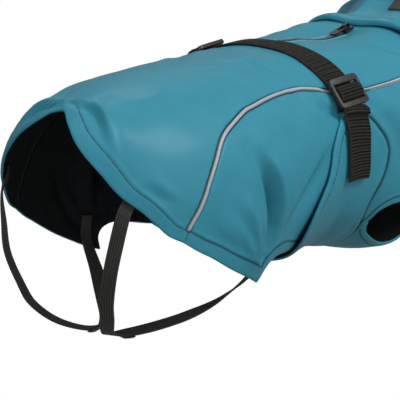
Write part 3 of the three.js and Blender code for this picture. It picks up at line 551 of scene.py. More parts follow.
def addMaterial(name, look):
    # base and second colour mixed by the patches, then darkened by the points' painted shade toward the shade
    # colour; grain and weave raise a small bump
    material = bpy.data.materials.new(name)
    tree = nodeTree(material)
    out = addNode(tree, "ShaderNodeOutputMaterial")
    shader = addNode(tree, "ShaderNodeBsdfPrincipled")
    tree.links.new(shader.outputs["BSDF"], out.inputs["Surface"])
    where = addNode(tree, "ShaderNodeTexCoord")
    grain = addNode(tree, "ShaderNodeGroup", node_tree=surfaceGrain)
    tree.links.new(where.outputs[look.get("space", "UV")], grain.inputs["Vector"])
    for socket, key in (("Patch Scale", "patchScale"), ("Grain Scale", "grainScale"),
                        ("Weave Scale", "weaveScale")):
        grain.inputs[socket].default_value = look[key]
    ramp = addNode(tree, "ShaderNodeMapRange")
    ramp.inputs["From Min"].default_value, ramp.inputs["From Max"].default_value = 0.3, 0.7
    tree.links.new(grain.outputs["Patch"], ramp.inputs["Value"])
    colour = addNode(tree, "ShaderNodeMix", data_type="RGBA")
    colour.inputs[mixSocket["first"]].default_value = (*look["colour"], 1)
    colour.inputs[mixSocket["second"]].default_value = (*look["second"], 1)
    tree.links.new(ramp.outputs["Result"], colour.inputs[mixSocket["share"]])
    # painted shade: the points' attribute mixes the colour toward a dark shade colour
    shadeMask = addNode(tree, "ShaderNodeAttribute", attribute_name="paintedShade")
    shadow = addNode(tree, "ShaderNodeMix", data_type="RGBA")
    shadeColour = look.get("shadeColour") or [c * look.get("deep", 0.15) for c in look["colour"]]
    shadow.inputs[mixSocket["second"]].default_value = (*shadeColour, 1)
    tree.links.new(shadeMask.outputs["Fac"], shadow.inputs[mixSocket["share"]])
    tree.links.new(colour.outputs[mixSocket["result"]], shadow.inputs[mixSocket["first"]])
    tree.links.new(shadow.outputs[mixSocket["result"]], shader.inputs["Base Color"])
    rough = addNode(tree, "ShaderNodeMapRange")
    rough.inputs["To Min"].default_value = look["roughness"] - roughSpread
    rough.inputs["To Max"].default_value = look["roughness"] + roughSpread
    tree.links.new(grain.outputs["Grain"], rough.inputs["Value"])
    tree.links.new(rough.outputs["Result"], shader.inputs["Roughness"])
    distance = look.get("bumpDistance", 0.0002)
    bumpGrain = addNode(tree, "ShaderNodeBump", Strength=look["grainBump"], Distance=distance)
    bumpWeave = addNode(tree, "ShaderNodeBump", Strength=look["weaveBump"], Distance=distance)
    tree.links.new(grain.outputs["Grain"], bumpGrain.inputs["Height"])
    tree.links.new(grain.outputs["Weave"], bumpWeave.inputs["Height"])
    tree.links.new(bumpGrain.outputs["Normal"], bumpWeave.inputs["Normal"])
    tree.links.new(bumpWeave.outputs["Normal"], shader.inputs["Normal"])
    for socket, key, usual in (("Metallic", "metallic", 0.0), ("Specular IOR Level", "specular", 0.5),
                               ("Sheen Weight", "sheen", 0.0), ("Coat Weight", "coat", 0.0),
                               ("Coat Roughness", "coatRoughness", 0.3)):
        shader.inputs[socket].default_value = look.get(key, usual)
    return material


# grain of the small hard parts, which have no UV map
hardGrain = {"patchScale": 60.0, "grainScale": 900.0, "weaveScale": 10.0, "grainBump": 0.1, "weaveBump": 0.0,
             "space": "Object"}
# deep gives the colour of the painted shade as a share of the base colour, shadeColour gives it outright
looks = {
    "shell": {"colour": (0.038, 0.250, 0.341), "second": (0.043, 0.267, 0.365), "roughness": 0.42,
              "shadeColour": (0.0, 0.040, 0.062), "patchScale": 6.0, "grainScale": 260.0, "weaveScale": 48.0,
              "grainBump": 0.12, "weaveBump": 0.06, "bumpDistance": 0.00012, "specular": 0.13,
              "coat": 0.05, "coatRoughness": 0.2},
    # innerFace: the near-black colour given to the cloth's inner faces and the piping's underside
    "innerFace": {"colour": (0.008, 0.0105, 0.012), "second": (0.013, 0.016, 0.018), "roughness": 0.85,
               "patchScale": 10.0, "grainScale": 200.0, "weaveScale": 40.0, "grainBump": 0.3,
               "weaveBump": 0.3, "specular": 0.2},
    "webbing": {"colour": (0.025, 0.0238, 0.0215), "second": (0.037, 0.035, 0.032), "roughness": 0.55,
                "deep": 0.03, "patchScale": 20.0, "grainScale": 320.0, "weaveScale": 60.0, "grainBump": 0.3,
                "weaveBump": 0.35, "specular": 0.08},
    "elastic": {"colour": (0.037, 0.0365, 0.034), "second": (0.048, 0.047, 0.043), "roughness": 0.6,
                "deep": 0.1, "patchScale": 20.0, "grainScale": 320.0, "weaveScale": 70.0, "grainBump": 0.25,
                "weaveBump": 0.3, "specular": 0.3, "sheen": 0.04},
    "piping": {"colour": (0.34, 0.385, 0.41), "second": (0.40, 0.445, 0.475), "roughness": 0.42,
               "patchScale": 30.0, "grainScale": 400.0, "weaveScale": 90.0, "grainBump": 0.2,
               "weaveBump": 0.2, "bumpDistance": 0.0001, "coat": 0.2, "coatRoughness": 0.25},
    "tape": {"colour": (0.05, 0.10, 0.13), "second": (0.06, 0.12, 0.15), "roughness": 0.75,
             "patchScale": 20.0, "grainScale": 300.0, "weaveScale": 90.0, "grainBump": 0.2, "weaveBump": 0.4},
    "plastic": {**hardGrain, "colour": (0.021, 0.0205, 0.019), "second": (0.028, 0.027, 0.025),
                "roughness": 0.4, "grainBump": 0.15, "bumpDistance": 0.0001},
    "thread": {**hardGrain, "colour": (0.004, 0.050, 0.075), "second": (0.006, 0.062, 0.09),
               "roughness": 0.6, "grainBump": 0.2},
    # lip: the shell's colour made paler, a painted highlight for the sheen along the zip's rounded lips
    "lip": {**hardGrain, "colour": (0.075, 0.300, 0.390), "second": (0.085, 0.32, 0.41),
            "roughness": 0.3, "specular": 0.4, "coat": 0.3, "coatRoughness": 0.2},
    "coil": {**hardGrain, "colour": (0.08, 0.13, 0.155), "second": (0.10, 0.155, 0.185), "roughness": 0.4},
    "metal": {**hardGrain, "colour": (0.006, 0.006, 0.008), "second": (0.010, 0.010, 0.012),
              "roughness": 0.36, "patchScale": 90.0, "grainScale": 700.0, "coat": 0.35,
              "coatRoughness": 0.15, "metallic": 0.3},
}
materials = {name: addMaterial(name, look) for name, look in looks.items()}
print("materials made:", len(materials))


# Cloth panels
panelGrid = {"step": 1.8, "seamRoll": 0.9, "seamRollWidth": 0.8, "edgeRound": 0.45, "edgeWidth": 0.6,
             "grooveDepth": 0.5, "grooveWidth": 0.5, "puckerHeight": 0.16, "edgeInside": 0.4}
# each panel's size across its grid, roughly, which sets how many rows and columns it gets
gridSpan = {"backAcross": 180, "sideAlong": 340, "sideAcross": 105, "chestAlong": 210, "chestAcross": 90}
hemMarks = range(0, 17, 2)     # where a grid draws together, for a turned hem
armMarks = range(0, 9, 2)
armhole = {"rear": 26, "seamFrom": 128, "seamTo": 136}     # x
farAway = 99                   # a distance at which an edge has no effect


def hemProfile(d, depth=cloth["hemDepth"]):
    # turned hem: raised up to its stitching, a groove there, a soft swell just past it, a rounded edge
    raised = cloth["hemSwell"] * (1 - smoothStep(d, depth - 0.3, depth + 0.7))
    groove = panelGrid["grooveDepth"] * np.exp(-(((d - depth) / panelGrid["grooveWidth"]) ** 2))
    swell = 0.3 * np.exp(-(((d - depth - 1.9) / 1.3) ** 2))
    return raised - groove + swell - edgeRoll(d)


def edgeRoll(d):
    # how far the cloth rounds off at a free edge
    return panelGrid["edgeRound"] * np.exp(-((d / panelGrid["edgeWidth"]) ** 2))


def seamRoll(d):
    # cloth that turns down into a seam
    return -panelGrid["seamRoll"] * np.exp(-((d / panelGrid["seamRollWidth"]) ** 1.4))


def pucker(d, along, at):
    # small gathers on both sides of a line of stitches, uneven along it
    wave = np.sin(along * 0.93 + 1.7 * np.sin(along * 0.061)) * (0.6 + 0.4 * np.sin(along * 0.043 + 1.0))
    return panelGrid["puckerHeight"] * wave * np.exp(-(((d - at) / 3.2) ** 2))


def shadeAlong(d, at=0.0, width=0.5, amount=0.8):
    # painted shade in the groove beside a seam or in a row of stitches: how far the cloth's colour is
    # darkened there
    return amount * np.exp(-(((d - at) / width) ** 2))


def clothWall(name, place, outer, inner, dark, replaces):
    # a panel between two heights over the same places on the body
    x, deg = place[..., 0], place[..., 1]
    obj = addWall(name, onCoat(x, deg, outer), onCoat(x, deg, inner), dark=dark)
    finishPiece(obj, "cloth", materials["shell"], materials["innerFace"], replaces=replaces)
    declareCloth(obj, smoothBody(x, deg))
    return obj


def slimAhead(x):
    # the piping is drawn narrower ahead of the belt, where the cloth is pulled over it
    return 1 - (1 - cloth["pipingAhead"]) * smoothStep(x, 0, cloth["slimOver"])


def seamOffset(line, side, room):
    # the panels meet below the hem's stitching and make room for the piping above it
    reach = reachOf(line)
    near, far = cloth["gap"] / 2, cloth["pipingHalf"] * slimAhead(line[:, 0]) + cloth["gap"] + room
    return side * (near + (far - near) * smoothStep(reach, cloth["hemDepth"] - 1.2, cloth["hemDepth"] + 0.2))


seam = dense(pipedSeam)
seam[-1, 0] = neckX(seam[-1, 1])
backSeam = beside(seam, seamOffset(seam, -1, 0.1))
sideSeam = beside(seam, seamOffset(seam, 1, 0.0))
for line in (backSeam, sideSeam):
    line[-1, 0] = neckX(line[-1, 1])


def neckEdge(start, end):
    # the neckline from one angle to another
    deg = np.linspace(start, end, 200)
    return np.stack([neckX(deg), deg], -1)


def aboveHem(d, within):
    # 1 on the panel, `within` on its turned hem
    return within + (1 - within) * smoothStep(d, cloth["hemDepth"] - 1.0, cloth["hemDepth"])


def seamFree(d):
    # 0 where the hem holds the seam flat, 1 above the hem
    return smoothStep(d, cloth["hemDepth"] - 1.5, cloth["hemDepth"] + 0.5)


def chestSeamAt(x):
    # past the armhole the panels' edges are a seam
    return smoothStep(x, armhole["seamFrom"], armhole["seamTo"])


def seamInside(d):
    # the wall thins a little from inside along a seam
    return 0.25 * np.exp(-((d / 0.8) ** 2))


def bandEdgeShade(place):
    # painted shadow along the band's front edge, on the cloth beside it
    return shadeAlong(awayFrom(dense(bandFront), place), 0.8, 2.1, 1.0)


def makeBackPanel():
    # patch between the rear hem, the neckline and the two seams
    half = np.array([p for p in hemLine if p[1] < seamFoot] + [tuple(backSeam[0])])
    rear = dense(np.concatenate([mirrored(half)[::-1], half[1:]]))
    front = neckEdge(-backSeam[-1, 1], backSeam[-1, 1])
    depth, across = cloth["hemDepth"], gridSpan["backAcross"]
    s = fineSteps(reachOf(backSeam)[-1], panelGrid["step"], hemMarks)
    t = fineSteps(across, panelGrid["step"], (0, across))
    place = patch(rear, front, mirrored(backSeam), backSeam, s, t)
    _, _, dLeft, _ = distances(smoothBody(place[..., 0], place[..., 1]))
    dRear = awayFrom(rear, place)
    dSeam = awayFrom(backSeam, foldedOver(place))
    free = seamFree(dRear)
    lift = (cloth["wall"] + hemProfile(dRear) + seamRoll(dSeam) * (0.35 + 0.65 * free)
            + pucker(dRear, dLeft, depth) + pucker(dSeam, dRear, 0) * free)
    inside = edgeRoll(dRear) * panelGrid["edgeInside"] + seamInside(dSeam)
    # painted shade in the hem's stitching groove and along the piped seam
    dark = shadeAlong(dRear, depth, 0.5, 0.7) + shadeAlong(dSeam) * aboveHem(dRear, 0.2)
    clothWall("backPanelCloth", place, lift, inside, dark, ["back_panel"])


def makeSidePanel(side, sign):
    # patch between the rear hem, the neckline, the piped seam and the flank hem with the top of the armhole
    rear = dense([tuple(sideSeam[0])] + [p for p in hemLine if p[1] > seamFoot + 4])
    toNeck = [(148, 137.5), (neckX(141), 141)]
    bottom = dense(flankHem + armTop[1:] + toNeck)
    lower = beside(bottom, -cloth["gap"] / 2)
    lower[0] = hemLine[-1]
    lower[-1, 0] = neckX(lower[-1, 1])
    front = neckEdge(sideSeam[-1, 1], lower[-1, 1])
    depth, armDepth, across = cloth["hemDepth"], cloth["armHem"], gridSpan["sideAcross"]
    s = fineSteps(gridSpan["sideAlong"], panelGrid["step"], hemMarks)
    t = fineSteps(across, panelGrid["step"], (0, *(across - m for m in hemMarks)))
    place = patch(rear, front, sideSeam, lower, s, t)
    x = place[..., 0]
    dRear, dTop, dLow = (awayFrom(line, place) for line in (rear, sideSeam, lower))
    dArm = np.where(x > armhole["rear"], dLow, farAway)
    dHem = np.minimum(dRear, np.where(x > armhole["rear"], farAway, dLow))
    free, chestSeam = seamFree(dRear), chestSeamAt(x)
    turned = (hemProfile(dHem) + pucker(dHem, dTop + x, depth)
              + hemProfile(dArm, armDepth) + pucker(dArm, x, armDepth))
    lift = (cloth["wall"] + turned * (1 - chestSeam) + seamRoll(dLow) * chestSeam
            + seamRoll(dTop) * (0.35 + 0.65 * free) + pucker(dTop, dRear, 0) * free)
    inside = edgeRoll(np.minimum(dRear, dLow)) * panelGrid["edgeInside"] + seamInside(dTop)
    # painted shade in the hem and armhole grooves, along the seams, and painted shadow beside the band's
    # front edge
    dark = ((shadeAlong(dHem, depth, 0.7, 0.85) + shadeAlong(dArm, armDepth, 0.6, 0.8)) * (1 - chestSeam)
            + shadeAlong(dTop) * aboveHem(dHem, 0.2) + shadeAlong(dLow) * chestSeam
            + bandEdgeShade(place) * smoothStep(place[..., 1], 68, 72))
    clothWall(f"sidePanelCloth_{side}", place * [1, sign], lift, inside, dark, [f"side_panel_{side}"])


def makeChestPanel():
    # patch across the belly, from the band's middle to the throat, between the two armholes
    behindArmhole = [(-8, 149), (14, 151.5), (27, 142.5), (39.5, 130)]
    toNeck = [(148, 138.5), (neckX(141.6), 141.6)]
    right = beside(dense(behindArmhole + armLow[1:] + toNeck), cloth["gap"])
    right[-1, 0] = neckX(right[-1, 1])
    left = right * [1, -1] + [0, 360]
    turn = np.linspace(0, 1, 200)
    rear = np.stack([right[0, 0] - 10 * np.sin(np.pi * turn),
                     right[0, 1] + (360 - 2 * right[0, 1]) * turn], -1)
    front = neckEdge(right[-1, 1], 360 - right[-1, 1])
    depth, across = cloth["armHem"], gridSpan["chestAcross"]
    s = fineSteps(gridSpan["chestAlong"], panelGrid["step"], (0,))
    t = fineSteps(across, panelGrid["step"], (*armMarks, *(across - m for m in armMarks)))
    place = patch(rear, front, right, left, s, t)
    dRear, _, _, _ = distances(smoothBody(place[..., 0], place[..., 1]))
    dEdge = awayFrom(right, foldedOver(place))
    chestSeam = chestSeamAt(place[..., 0])
    lift = (cloth["wall"] + hemProfile(dEdge, depth) * (1 - chestSeam) + seamRoll(dEdge) * chestSeam
            + pucker(dEdge, dRear, depth))
    inside = edgeRoll(dEdge) * panelGrid["edgeInside"]
    # painted shade in the armhole groove and along the seam, and painted shadow beside the band's front edge
    dark = (shadeAlong(dEdge, depth, 0.5, 0.7) * (1 - chestSeam) + shadeAlong(dEdge) * chestSeam
            + bandEdgeShade(foldedOver(place)))
    clothWall("chestPanelCloth", place, lift, inside, dark, ["chest_panel"])


band = {"width": 78, "girth": 330, "lift": 2.6, "liftAt": 116, "liftWidth": 26, "overChest": 0.6,
        "stitch": 6.5, "frontStitch": 1.6}


def underBand(deg, s):
    # height of its inner face: over the side panel, then the chest panel, and off them at the free edge
    overChest = band["overChest"] * np.clip((deg - 110) / 12, 0, 1)
    free = np.exp(-(((deg - band["liftAt"]) / band["liftWidth"]) ** 2))
    return cloth["wall"] + overChest + cloth["gap"] + band["lift"] * free * (1 - s) ** 3


def makeBellyBand():
    # straight rows from the rear edge to the front one, for each angle round the belly
    start, width, girth = bandRear[0][1], band["width"], band["girth"]
    t = fineSteps(girth, panelGrid["step"], (0, girth))
    deg = start + (360 - 2 * start) * t
    rows = [np.array(line, float) for line in (bandRear, bandFront)]
    rearX, frontX = (cubic(row[:, 1], row[:, 0], halfTurn(deg)) for row in rows)
    s = fineSteps(width, panelGrid["step"], (0, band["stitch"], width - band["frontStitch"], width))
    x = rearX[None] * (1 - s[:, None]) + frontX[None] * s[:, None]
    place = np.stack([x, np.broadcast_to(deg, x.shape)], -1)
    _, _, dRight, dLeft = distances(smoothBody(place[..., 0], place[..., 1]))
    dEnd = np.minimum(dRight, dLeft)
    dRear, dFront = (awayFrom(dense(line), foldedOver(place)) for line in (bandRear, bandFront))
    under = underBand(halfTurn(place[..., 1]), s[:, None])
    groove = 0.4 * np.exp(-(((dRear - band["stitch"]) / 0.5) ** 2))
    turned = 0.35 * (1 - smoothStep(dRear, band["stitch"] - 0.4, band["stitch"] + 0.6))
    frontDip = 1.3 * np.exp(-((dFront / 2.2) ** 2)) - 0.35 * np.exp(-(((dFront - 5) / 2) ** 2))
    lift = (under + cloth["wall"] + turned - groove - edgeRoll(dRear) - frontDip - edgeRoll(dEnd)
            + pucker(dRear, dRight, band["stitch"]) + 0.6 * pucker(dFront, dRight, 1.5))
    # painted shade in the stitching groove, along the front seam and at the ends
    dark = shadeAlong(dRear, band["stitch"], 0.5, 0.6) + shadeAlong(dFront, 0.3, 1.2, 0.97) + shadeAlong(dEnd)
    clothWall("bellyBandCloth", place, lift, under + edgeRoll(dRear) * panelGrid["edgeInside"], dark,
              ["belly_band"])


makeBackPanel()
for side, sign in (("right", 1), ("left", -1)):
    makeSidePanel(side, sign)
makeChestPanel()
makeBellyBand()
print("cloth panels made")


# Stitching: short spindles of thread, end to end along a line on the cloth
stitch = {"length": 2.7, "gap": 0.3, "radius": 0.25, "sink": 0.12, "bow": 0.22, "rings": 7, "around": 6,
          "rearTo": -112, "flankFrom": -110, "flankTo": -52, "armholeTo": 124, "bandFrom": 69}  # row ends


def stitchesAlong(points, normals):
    # each stitch: rings of points along its tangent, thicker and higher in the middle
    reach = np.concatenate([[0], np.cumsum(np.linalg.norm(np.diff(points, axis=0), axis=-1))])
    count = int(reach[-1] // (stitch["length"] + stitch["gap"]))
    centre = (np.arange(count) + 0.5) * reach[-1] / count

    def at(values, where):
        return np.stack([np.interp(where, reach, values[:, k]) for k in range(3)], -1)

    u = np.linspace(-1, 1, stitch["rings"])
    where = centre[:, None] + u[None] * stitch["length"] / 2
    middle, normal = at(points, where), unit(at(normals, where))
    tangent = unit(np.gradient(middle, axis=1))
    across = unit(np.cross(normal, tangent))
    radius = stitch["radius"] * np.sqrt(np.clip(1 - u**4, 0.04, 1))
    height = stitch["bow"] * (1 - u**2) - stitch["sink"]
    turn = np.arange(stitch["around"]) * 2 * np.pi / stitch["around"]
    ring = (across[:, :, None] * np.cos(turn)[:, None] + normal[:, :, None] * np.sin(turn)[:, None])
    grid = (middle + normal * height[:, None])[:, :, None] + ring * radius[None, :, None, None]
    return grid.reshape(-1, 3)


def addStitches(name, lines, lift):
    # one piece for all the rows of stitches given, at lift(x, degrees) over the body
    rows = []
    for line in lines:
        x, deg = line[:, 0], line[:, 1]
        rows.append(stitchesAlong(onCoat(x, deg, lift(x, deg)), bodyNormal(x, deg)))
    points = np.concatenate(rows)
    count = len(points) // (stitch["rings"] * stitch["around"])
    obj = addMesh(name, points, spindleFaces(count, stitch["rings"], stitch["around"]))
    finishPiece(obj, "cloth", materials["thread"])


def onHem(x, deg):
    return np.full(x.shape, cloth["wall"] + 0.05)


def onBand(x, deg):
    return underBand(np.abs(deg), band["stitch"] / band["width"]) + cloth["wall"] - 0.05


def makeStitching():
    # rows at the depth of each turned edge; those on the left mirror the right ones
    rear = beside(dense(hemLine), -cloth["hemDepth"])
    rear = rear[(rear[:, 1] > 0) & (rear[:, 0] < stitch["rearTo"])]
    addStitches("rearHemStitching", [np.concatenate([mirrored(rear)[::-1], rear])], onHem)
    flank = beside(dense(flankHem), -cloth["hemDepth"])
    flank = flank[(flank[:, 0] > stitch["flankFrom"]) & (flank[:, 0] < stitch["flankTo"])]
    armUpper = beside(dense(armTop), -cloth["armHem"])
    armLower = beside(dense(armLow), cloth["armHem"] + 0.3)
    armLower = armLower[armLower[:, 0] < stitch["armholeTo"]]
    onBelly = beside(dense(bandRear), -band["stitch"])
    onBelly = onBelly[onBelly[:, 1] > stitch["bandFrom"]]
    for side, sign in (("right", 1), ("left", -1)):
        addStitches(f"flankStitching_{side}", [flank * [1, sign]], onHem)
        addStitches(f"armholeStitching_{side}", [armUpper * [1, sign], armLower * [1, sign]], onHem)
        addStitches(f"bandStitching_{side}", [onBelly * [1, sign]], onBand)


makeStitching()
print("stitching made")


# Straps and trims: a profile carried along a line on the coat
def strip(line, half, low, high, profile, step):
    # rows along the line, columns across it; low and high give heights at (distance, x, degrees)
    reach = reachOf(line)
    count = max(3, int(reach[-1] / step) + 1)
    mid = lineAt(line, np.linspace(0, 1, count))
    d = unit(np.gradient(mid, axis=0) * [1, cloth["mmPerDegree"]])
    side = profile[:, 0] * half
    x = mid[:, :1] - d[:, 1:] * side
    deg = mid[:, 1:] + d[:, :1] * side / cloth["mmPerDegree"]
    along = np.linspace(0, reach[-1], count)[:, None]
    under, over = low(along, mid[:, :1], mid[:, 1:]), high(along, mid[:, :1], mid[:, 1:])
    return x, deg, under + 0 * x, over + profile[:, 1] + 0 * x, along


# flankShade is the painted shade on the bead's flanks where they go down into the seam, shadeAhead the share
# of it left ahead of the belt
piping = {"bead": 0.9, "rise": 1.15, "sunk": 0.45, "proud": 1.2, "underBelt": 14.0, "endRound": 1.2,
          "flankShade": 0.75, "shadeAhead": 0.3}


def makePiping(side, sign):
    # half-round bead in the seam, pressed flat under the belt
    line = seam[reachOf(seam) > cloth["hemDepth"] - 0.6] * [1, sign]
    edge = piping["bead"]
    a = np.concatenate([[-1, -edge - 0.02], np.linspace(-edge, edge, 15), [edge + 0.02, 1]])
    bead = np.sqrt(np.clip(1 - (a / edge) ** 4, 0, 1)) - 1
    profile = np.stack([a, piping["rise"] * np.where(np.abs(a) > edge + 0.01, -1.2, bead)], -1)

    def over(along, x, deg):
        belt, neck = (np.abs(x) - piping["underBelt"]) / 6, (neckline["nape"] - x) / 4
        start = np.sqrt(np.clip(along / piping["endRound"], 0, 1))
        proud = piping["proud"] * np.clip(belt, 0, 1) * np.clip(neck, 0, 1) * start
        return cloth["wall"] - piping["sunk"] + proud

    x, deg, under, top, _ = strip(line, cloth["pipingHalf"], lambda *a: 0.0, over, profile, step=1.6)
    middle = slice(len(a) // 2, len(a) // 2 + 1)
    slim = slimAhead(x[:, middle])
    x, deg = (v[:, middle] + (v - v[:, middle]) * slim for v in (x, deg))
    # painted shade on the bead's flanks, less ahead of the belt, and full on the inner face
    fade = 1 - (1 - piping["shadeAhead"]) * smoothStep(x, 0, cloth["slimOver"])
    dark = piping["flankShade"] * (np.abs(a) > edge - 0.01) * fade
    outer, inner = onCoat(x, deg, np.maximum(top, 0.3)), onCoat(x, deg, 0 * under + 0.05)
    obj = addWall(f"pipingBead_{side}", outer, inner, dark=dark, darkInside=1.0)
    finishPiece(obj, "piping", materials["piping"], materials["innerFace"], replaces=[f"piping_{side}"])


webbing = {"half": 12.5, "thick": 1.5, "rib": 2.2, "ribHeight": 0.95, "selvage": 0.9}


def ribWave(along):
    # 1 on top of a rib; the ribs lie in pairs, with a shallow groove in a pair and a deep one between pairs
    groove = 1 - np.abs(np.sin(np.pi * along / webbing["rib"])) ** 1.6
    deep = np.sin(np.pi * (along + 0.6 * np.sin(along * 0.21)) / webbing["rib"] / 2) ** 2
    return 1 - groove * (0.7 + 0.3 * deep)


def grooveShade(along, across):
    # painted shade between the strap's ribs, where its colour is darkened
    inside = smoothStep(webbing["half"] - np.abs(across), 0.3, 1.2)
    return (1 - ribWave(along)) ** 1.2 * inside


def ribs(along, across):
    # rounded cross ribs that fade at the two selvages
    wave = ribWave(along)
    inside = smoothStep(webbing["half"] - np.abs(across), webbing["selvage"] * 0.6, webbing["selvage"] * 1.6)
    edge = 0.5 * (1 - smoothStep(webbing["half"] - np.abs(across), 0, 0.7))
    return -webbing["ribHeight"] * (1 - wave) * inside - edge


def strapProfile():
    # columns across the strap, closer at its edges
    a = fineSteps(2 * webbing["half"], 1.4, (0, 2 * webbing["half"]), least=0.3, spread=0.3) * 2 - 1
    return np.stack([a, 0 * a], -1)


def addStrap(name, line, under, replaces):
    # ribbed strap along a line, its inner face at under(distance, x, degrees) over the body
    profile = strapProfile()
    x, deg, low, high, along = strip(line, webbing["half"], under, lambda *a: under(*a) + webbing["thick"],
                                     profile, step=webbing["rib"] / 6)
    across = profile[:, 0] * webbing["half"]
    uneven = 1 + 0.25 * np.sin(along * 1.13) * np.sin(along * 0.37 + 1.0)
    x = x + 0.22 * np.abs(profile[:, 0]) ** 8 * np.sign(profile[:, 0]) * (ribWave(along) - 0.5)
    lift = ribs(along, across[None]) * uneven
    # painted shade between the ribs
    obj = addWall(name, onCoat(x, deg, high + lift), onCoat(x, deg, low - lift * 0.2),
                  dark=grooveShade(along, across[None]) + 0 * x)
    finishPiece(obj, "webbing", materials["webbing"], materials["webbing"], replaces=replaces)


belt = {"out": cloth["wall"] + cloth["gap"] + 0.15, "end": 66.3}


def makeBelt():
    # over the spine from buckle to buckle, drifting forward down the dog's right
    line = dense([(0, -belt["end"]), (0, -20), (0.4, 0), (1.4, 25), (2.6, 48), (2.8, belt["end"])])
    addStrap("beltWebbing", line, lambda along, x, deg: belt["out"] + 0 * along, ["belt_webbing"])


for side, sign in (("right", 1), ("left", -1)):
    makePiping(side, sign)
makeBelt()
print("piping and belt made")


# Ladder buckles with the strap through them
buckle = {
    "right": (3.2, 57.9), "left": (0.0, -44.0),      # the middle, in x and degrees
    "length": 31.0, "height": 23.0, "thick": 3.0, "rail": 2.7, "topBar": 5.0, "midBar": 4.0, "lowBar": 4.0,
    "corner": 3.2, "windowCorner": 0.7, "bevel": 0.55, "raise": 0.9, "crown": 0.35,
    "out": belt["out"] + webbing["thick"] + cloth["gap"], "sharpFrom": 38,
}
buckleWindow = (buckle["height"] - buckle["topBar"] - buckle["midBar"] - buckle["lowBar"]) / 2


def buckleSeat(side):
    # flat frame on the body: u to the head, v up the side, n out
    x, deg = (np.array([v]) for v in buckle[side])
    centre = onCoat(x, deg, buckle["out"])[0]
    normal = bodyNormal(x, deg)[0]
    u = unit(np.array([1.0, 0, 0]) - normal[0] * normal)
    v = np.cross(normal, u)
    if v[2] < 0:
        v = -v
    return centre, u, v, normal


def seated(points, side):
    # from the buckle's own millimetres to its place on the body
    centre, u, v, n = buckleSeat(side)
    return centre + points[..., :1] * u + points[..., 1:2] * v + points[..., 2:3] * n


def roundedOutline(w, h, r, steps=6):
    # rectangle of half sizes w and h, a quarter circle of radius r at each corner
    turn = np.linspace(0, np.pi / 2, steps)
    outline = []
    for quarter, (a, b) in enumerate(((1, 1), (-1, 1), (-1, -1), (1, -1))):
        angles = turn + quarter * np.pi / 2
        outline += [(a * (w - r) + r * math.cos(t), b * (h - r) + r * math.sin(t)) for t in angles]
    return outline


def plateWithHoles(name, outlines, thick, bevel):
    # flat outline with holes, extruded and bevelled by a 2-D curve, then made a mesh
    data = bpy.data.curves.new(name, "CURVE")
    data.dimensions, data.fill_mode = "2D", "BOTH"
    data.extrude, data.bevel_depth, data.bevel_resolution = thick / 2 - bevel, bevel, 3
    data.offset = -bevel
    for outline in outlines:
        spline = data.splines.new("POLY")
        spline.points.add(len(outline) - 1)
        for point, (a, b) in zip(spline.points, outline):
            point.co = (a, b, 0, 1)
        spline.use_cyclic_u = True
    curve = addObject(name, data)
    bpy.context.view_layer.update()
    mesh = bpy.data.meshes.new_from_object(curve.evaluated_get(bpy.context.evaluated_depsgraph_get()))
    bpy.data.objects.remove(curve)
    return mesh


def meshPoints(mesh):
    # the mesh's points as rows of x, y, z
    co = np.zeros(len(mesh.vertices) * 3, np.float32)
    mesh.vertices.foreach_get("co", co)
    return co.reshape(-1, 3).astype(float)


def mergeDoubles(mesh):
    # one point where several lie within 2 micrometres, and faces that look outwards
    work = bmesh.new()
    work.from_mesh(mesh)
    bmesh.ops.remove_doubles(work, verts=work.verts, dist=2e-6)
    bmesh.ops.recalc_face_normals(work, faces=work.faces)
    work.to_mesh(mesh)
    work.free()


def makeBuckle(side):
    # rounded plate with two windows, the widest bar toward the spine, a little crowned along its length
    w, h = buckle["length"] / 2, buckle["height"] / 2
    upper = h - buckle["topBar"] - buckleWindow / 2
    holes = []
    for middle in (upper, upper - buckleWindow - buckle["midBar"]):
        outline = roundedOutline(w - buckle["rail"], buckleWindow / 2, buckle["windowCorner"], 4)
        holes.append([(a, b + middle) for a, b in outline])
    outlines = [roundedOutline(w, h, buckle["corner"]), *holes]
    mesh = plateWithHoles(f"buckleFrame_{side}", outlines, buckle["thick"], buckle["bevel"])
    points = meshPoints(mesh)
    crown = buckle["crown"] * (1 - (points[:, 0] / w) ** 2)
    points[:, 2] += buckle["thick"] / 2 + buckle["raise"] + crown
    mesh.vertices.foreach_set("co", (seated(points, side) * toMetres).astype(np.float32).ravel())
    mesh.materials.clear()
    mergeDoubles(mesh)
    mesh.polygons.foreach_set("use_smooth", np.ones(len(mesh.polygons), bool))
    mesh.set_sharp_from_angle(angle=math.radians(buckle["sharpFrom"]))
    obj = addObject(f"buckleFrame_{side}", mesh)
    finishPiece(obj, "buckle", materials["plastic"], replaces=[f"buckle_{side}"])


threaded = {"foot": 0.2, "clear": 0.9, "squareness": 3.4, "thin": 0.85, "narrower": 0.1}


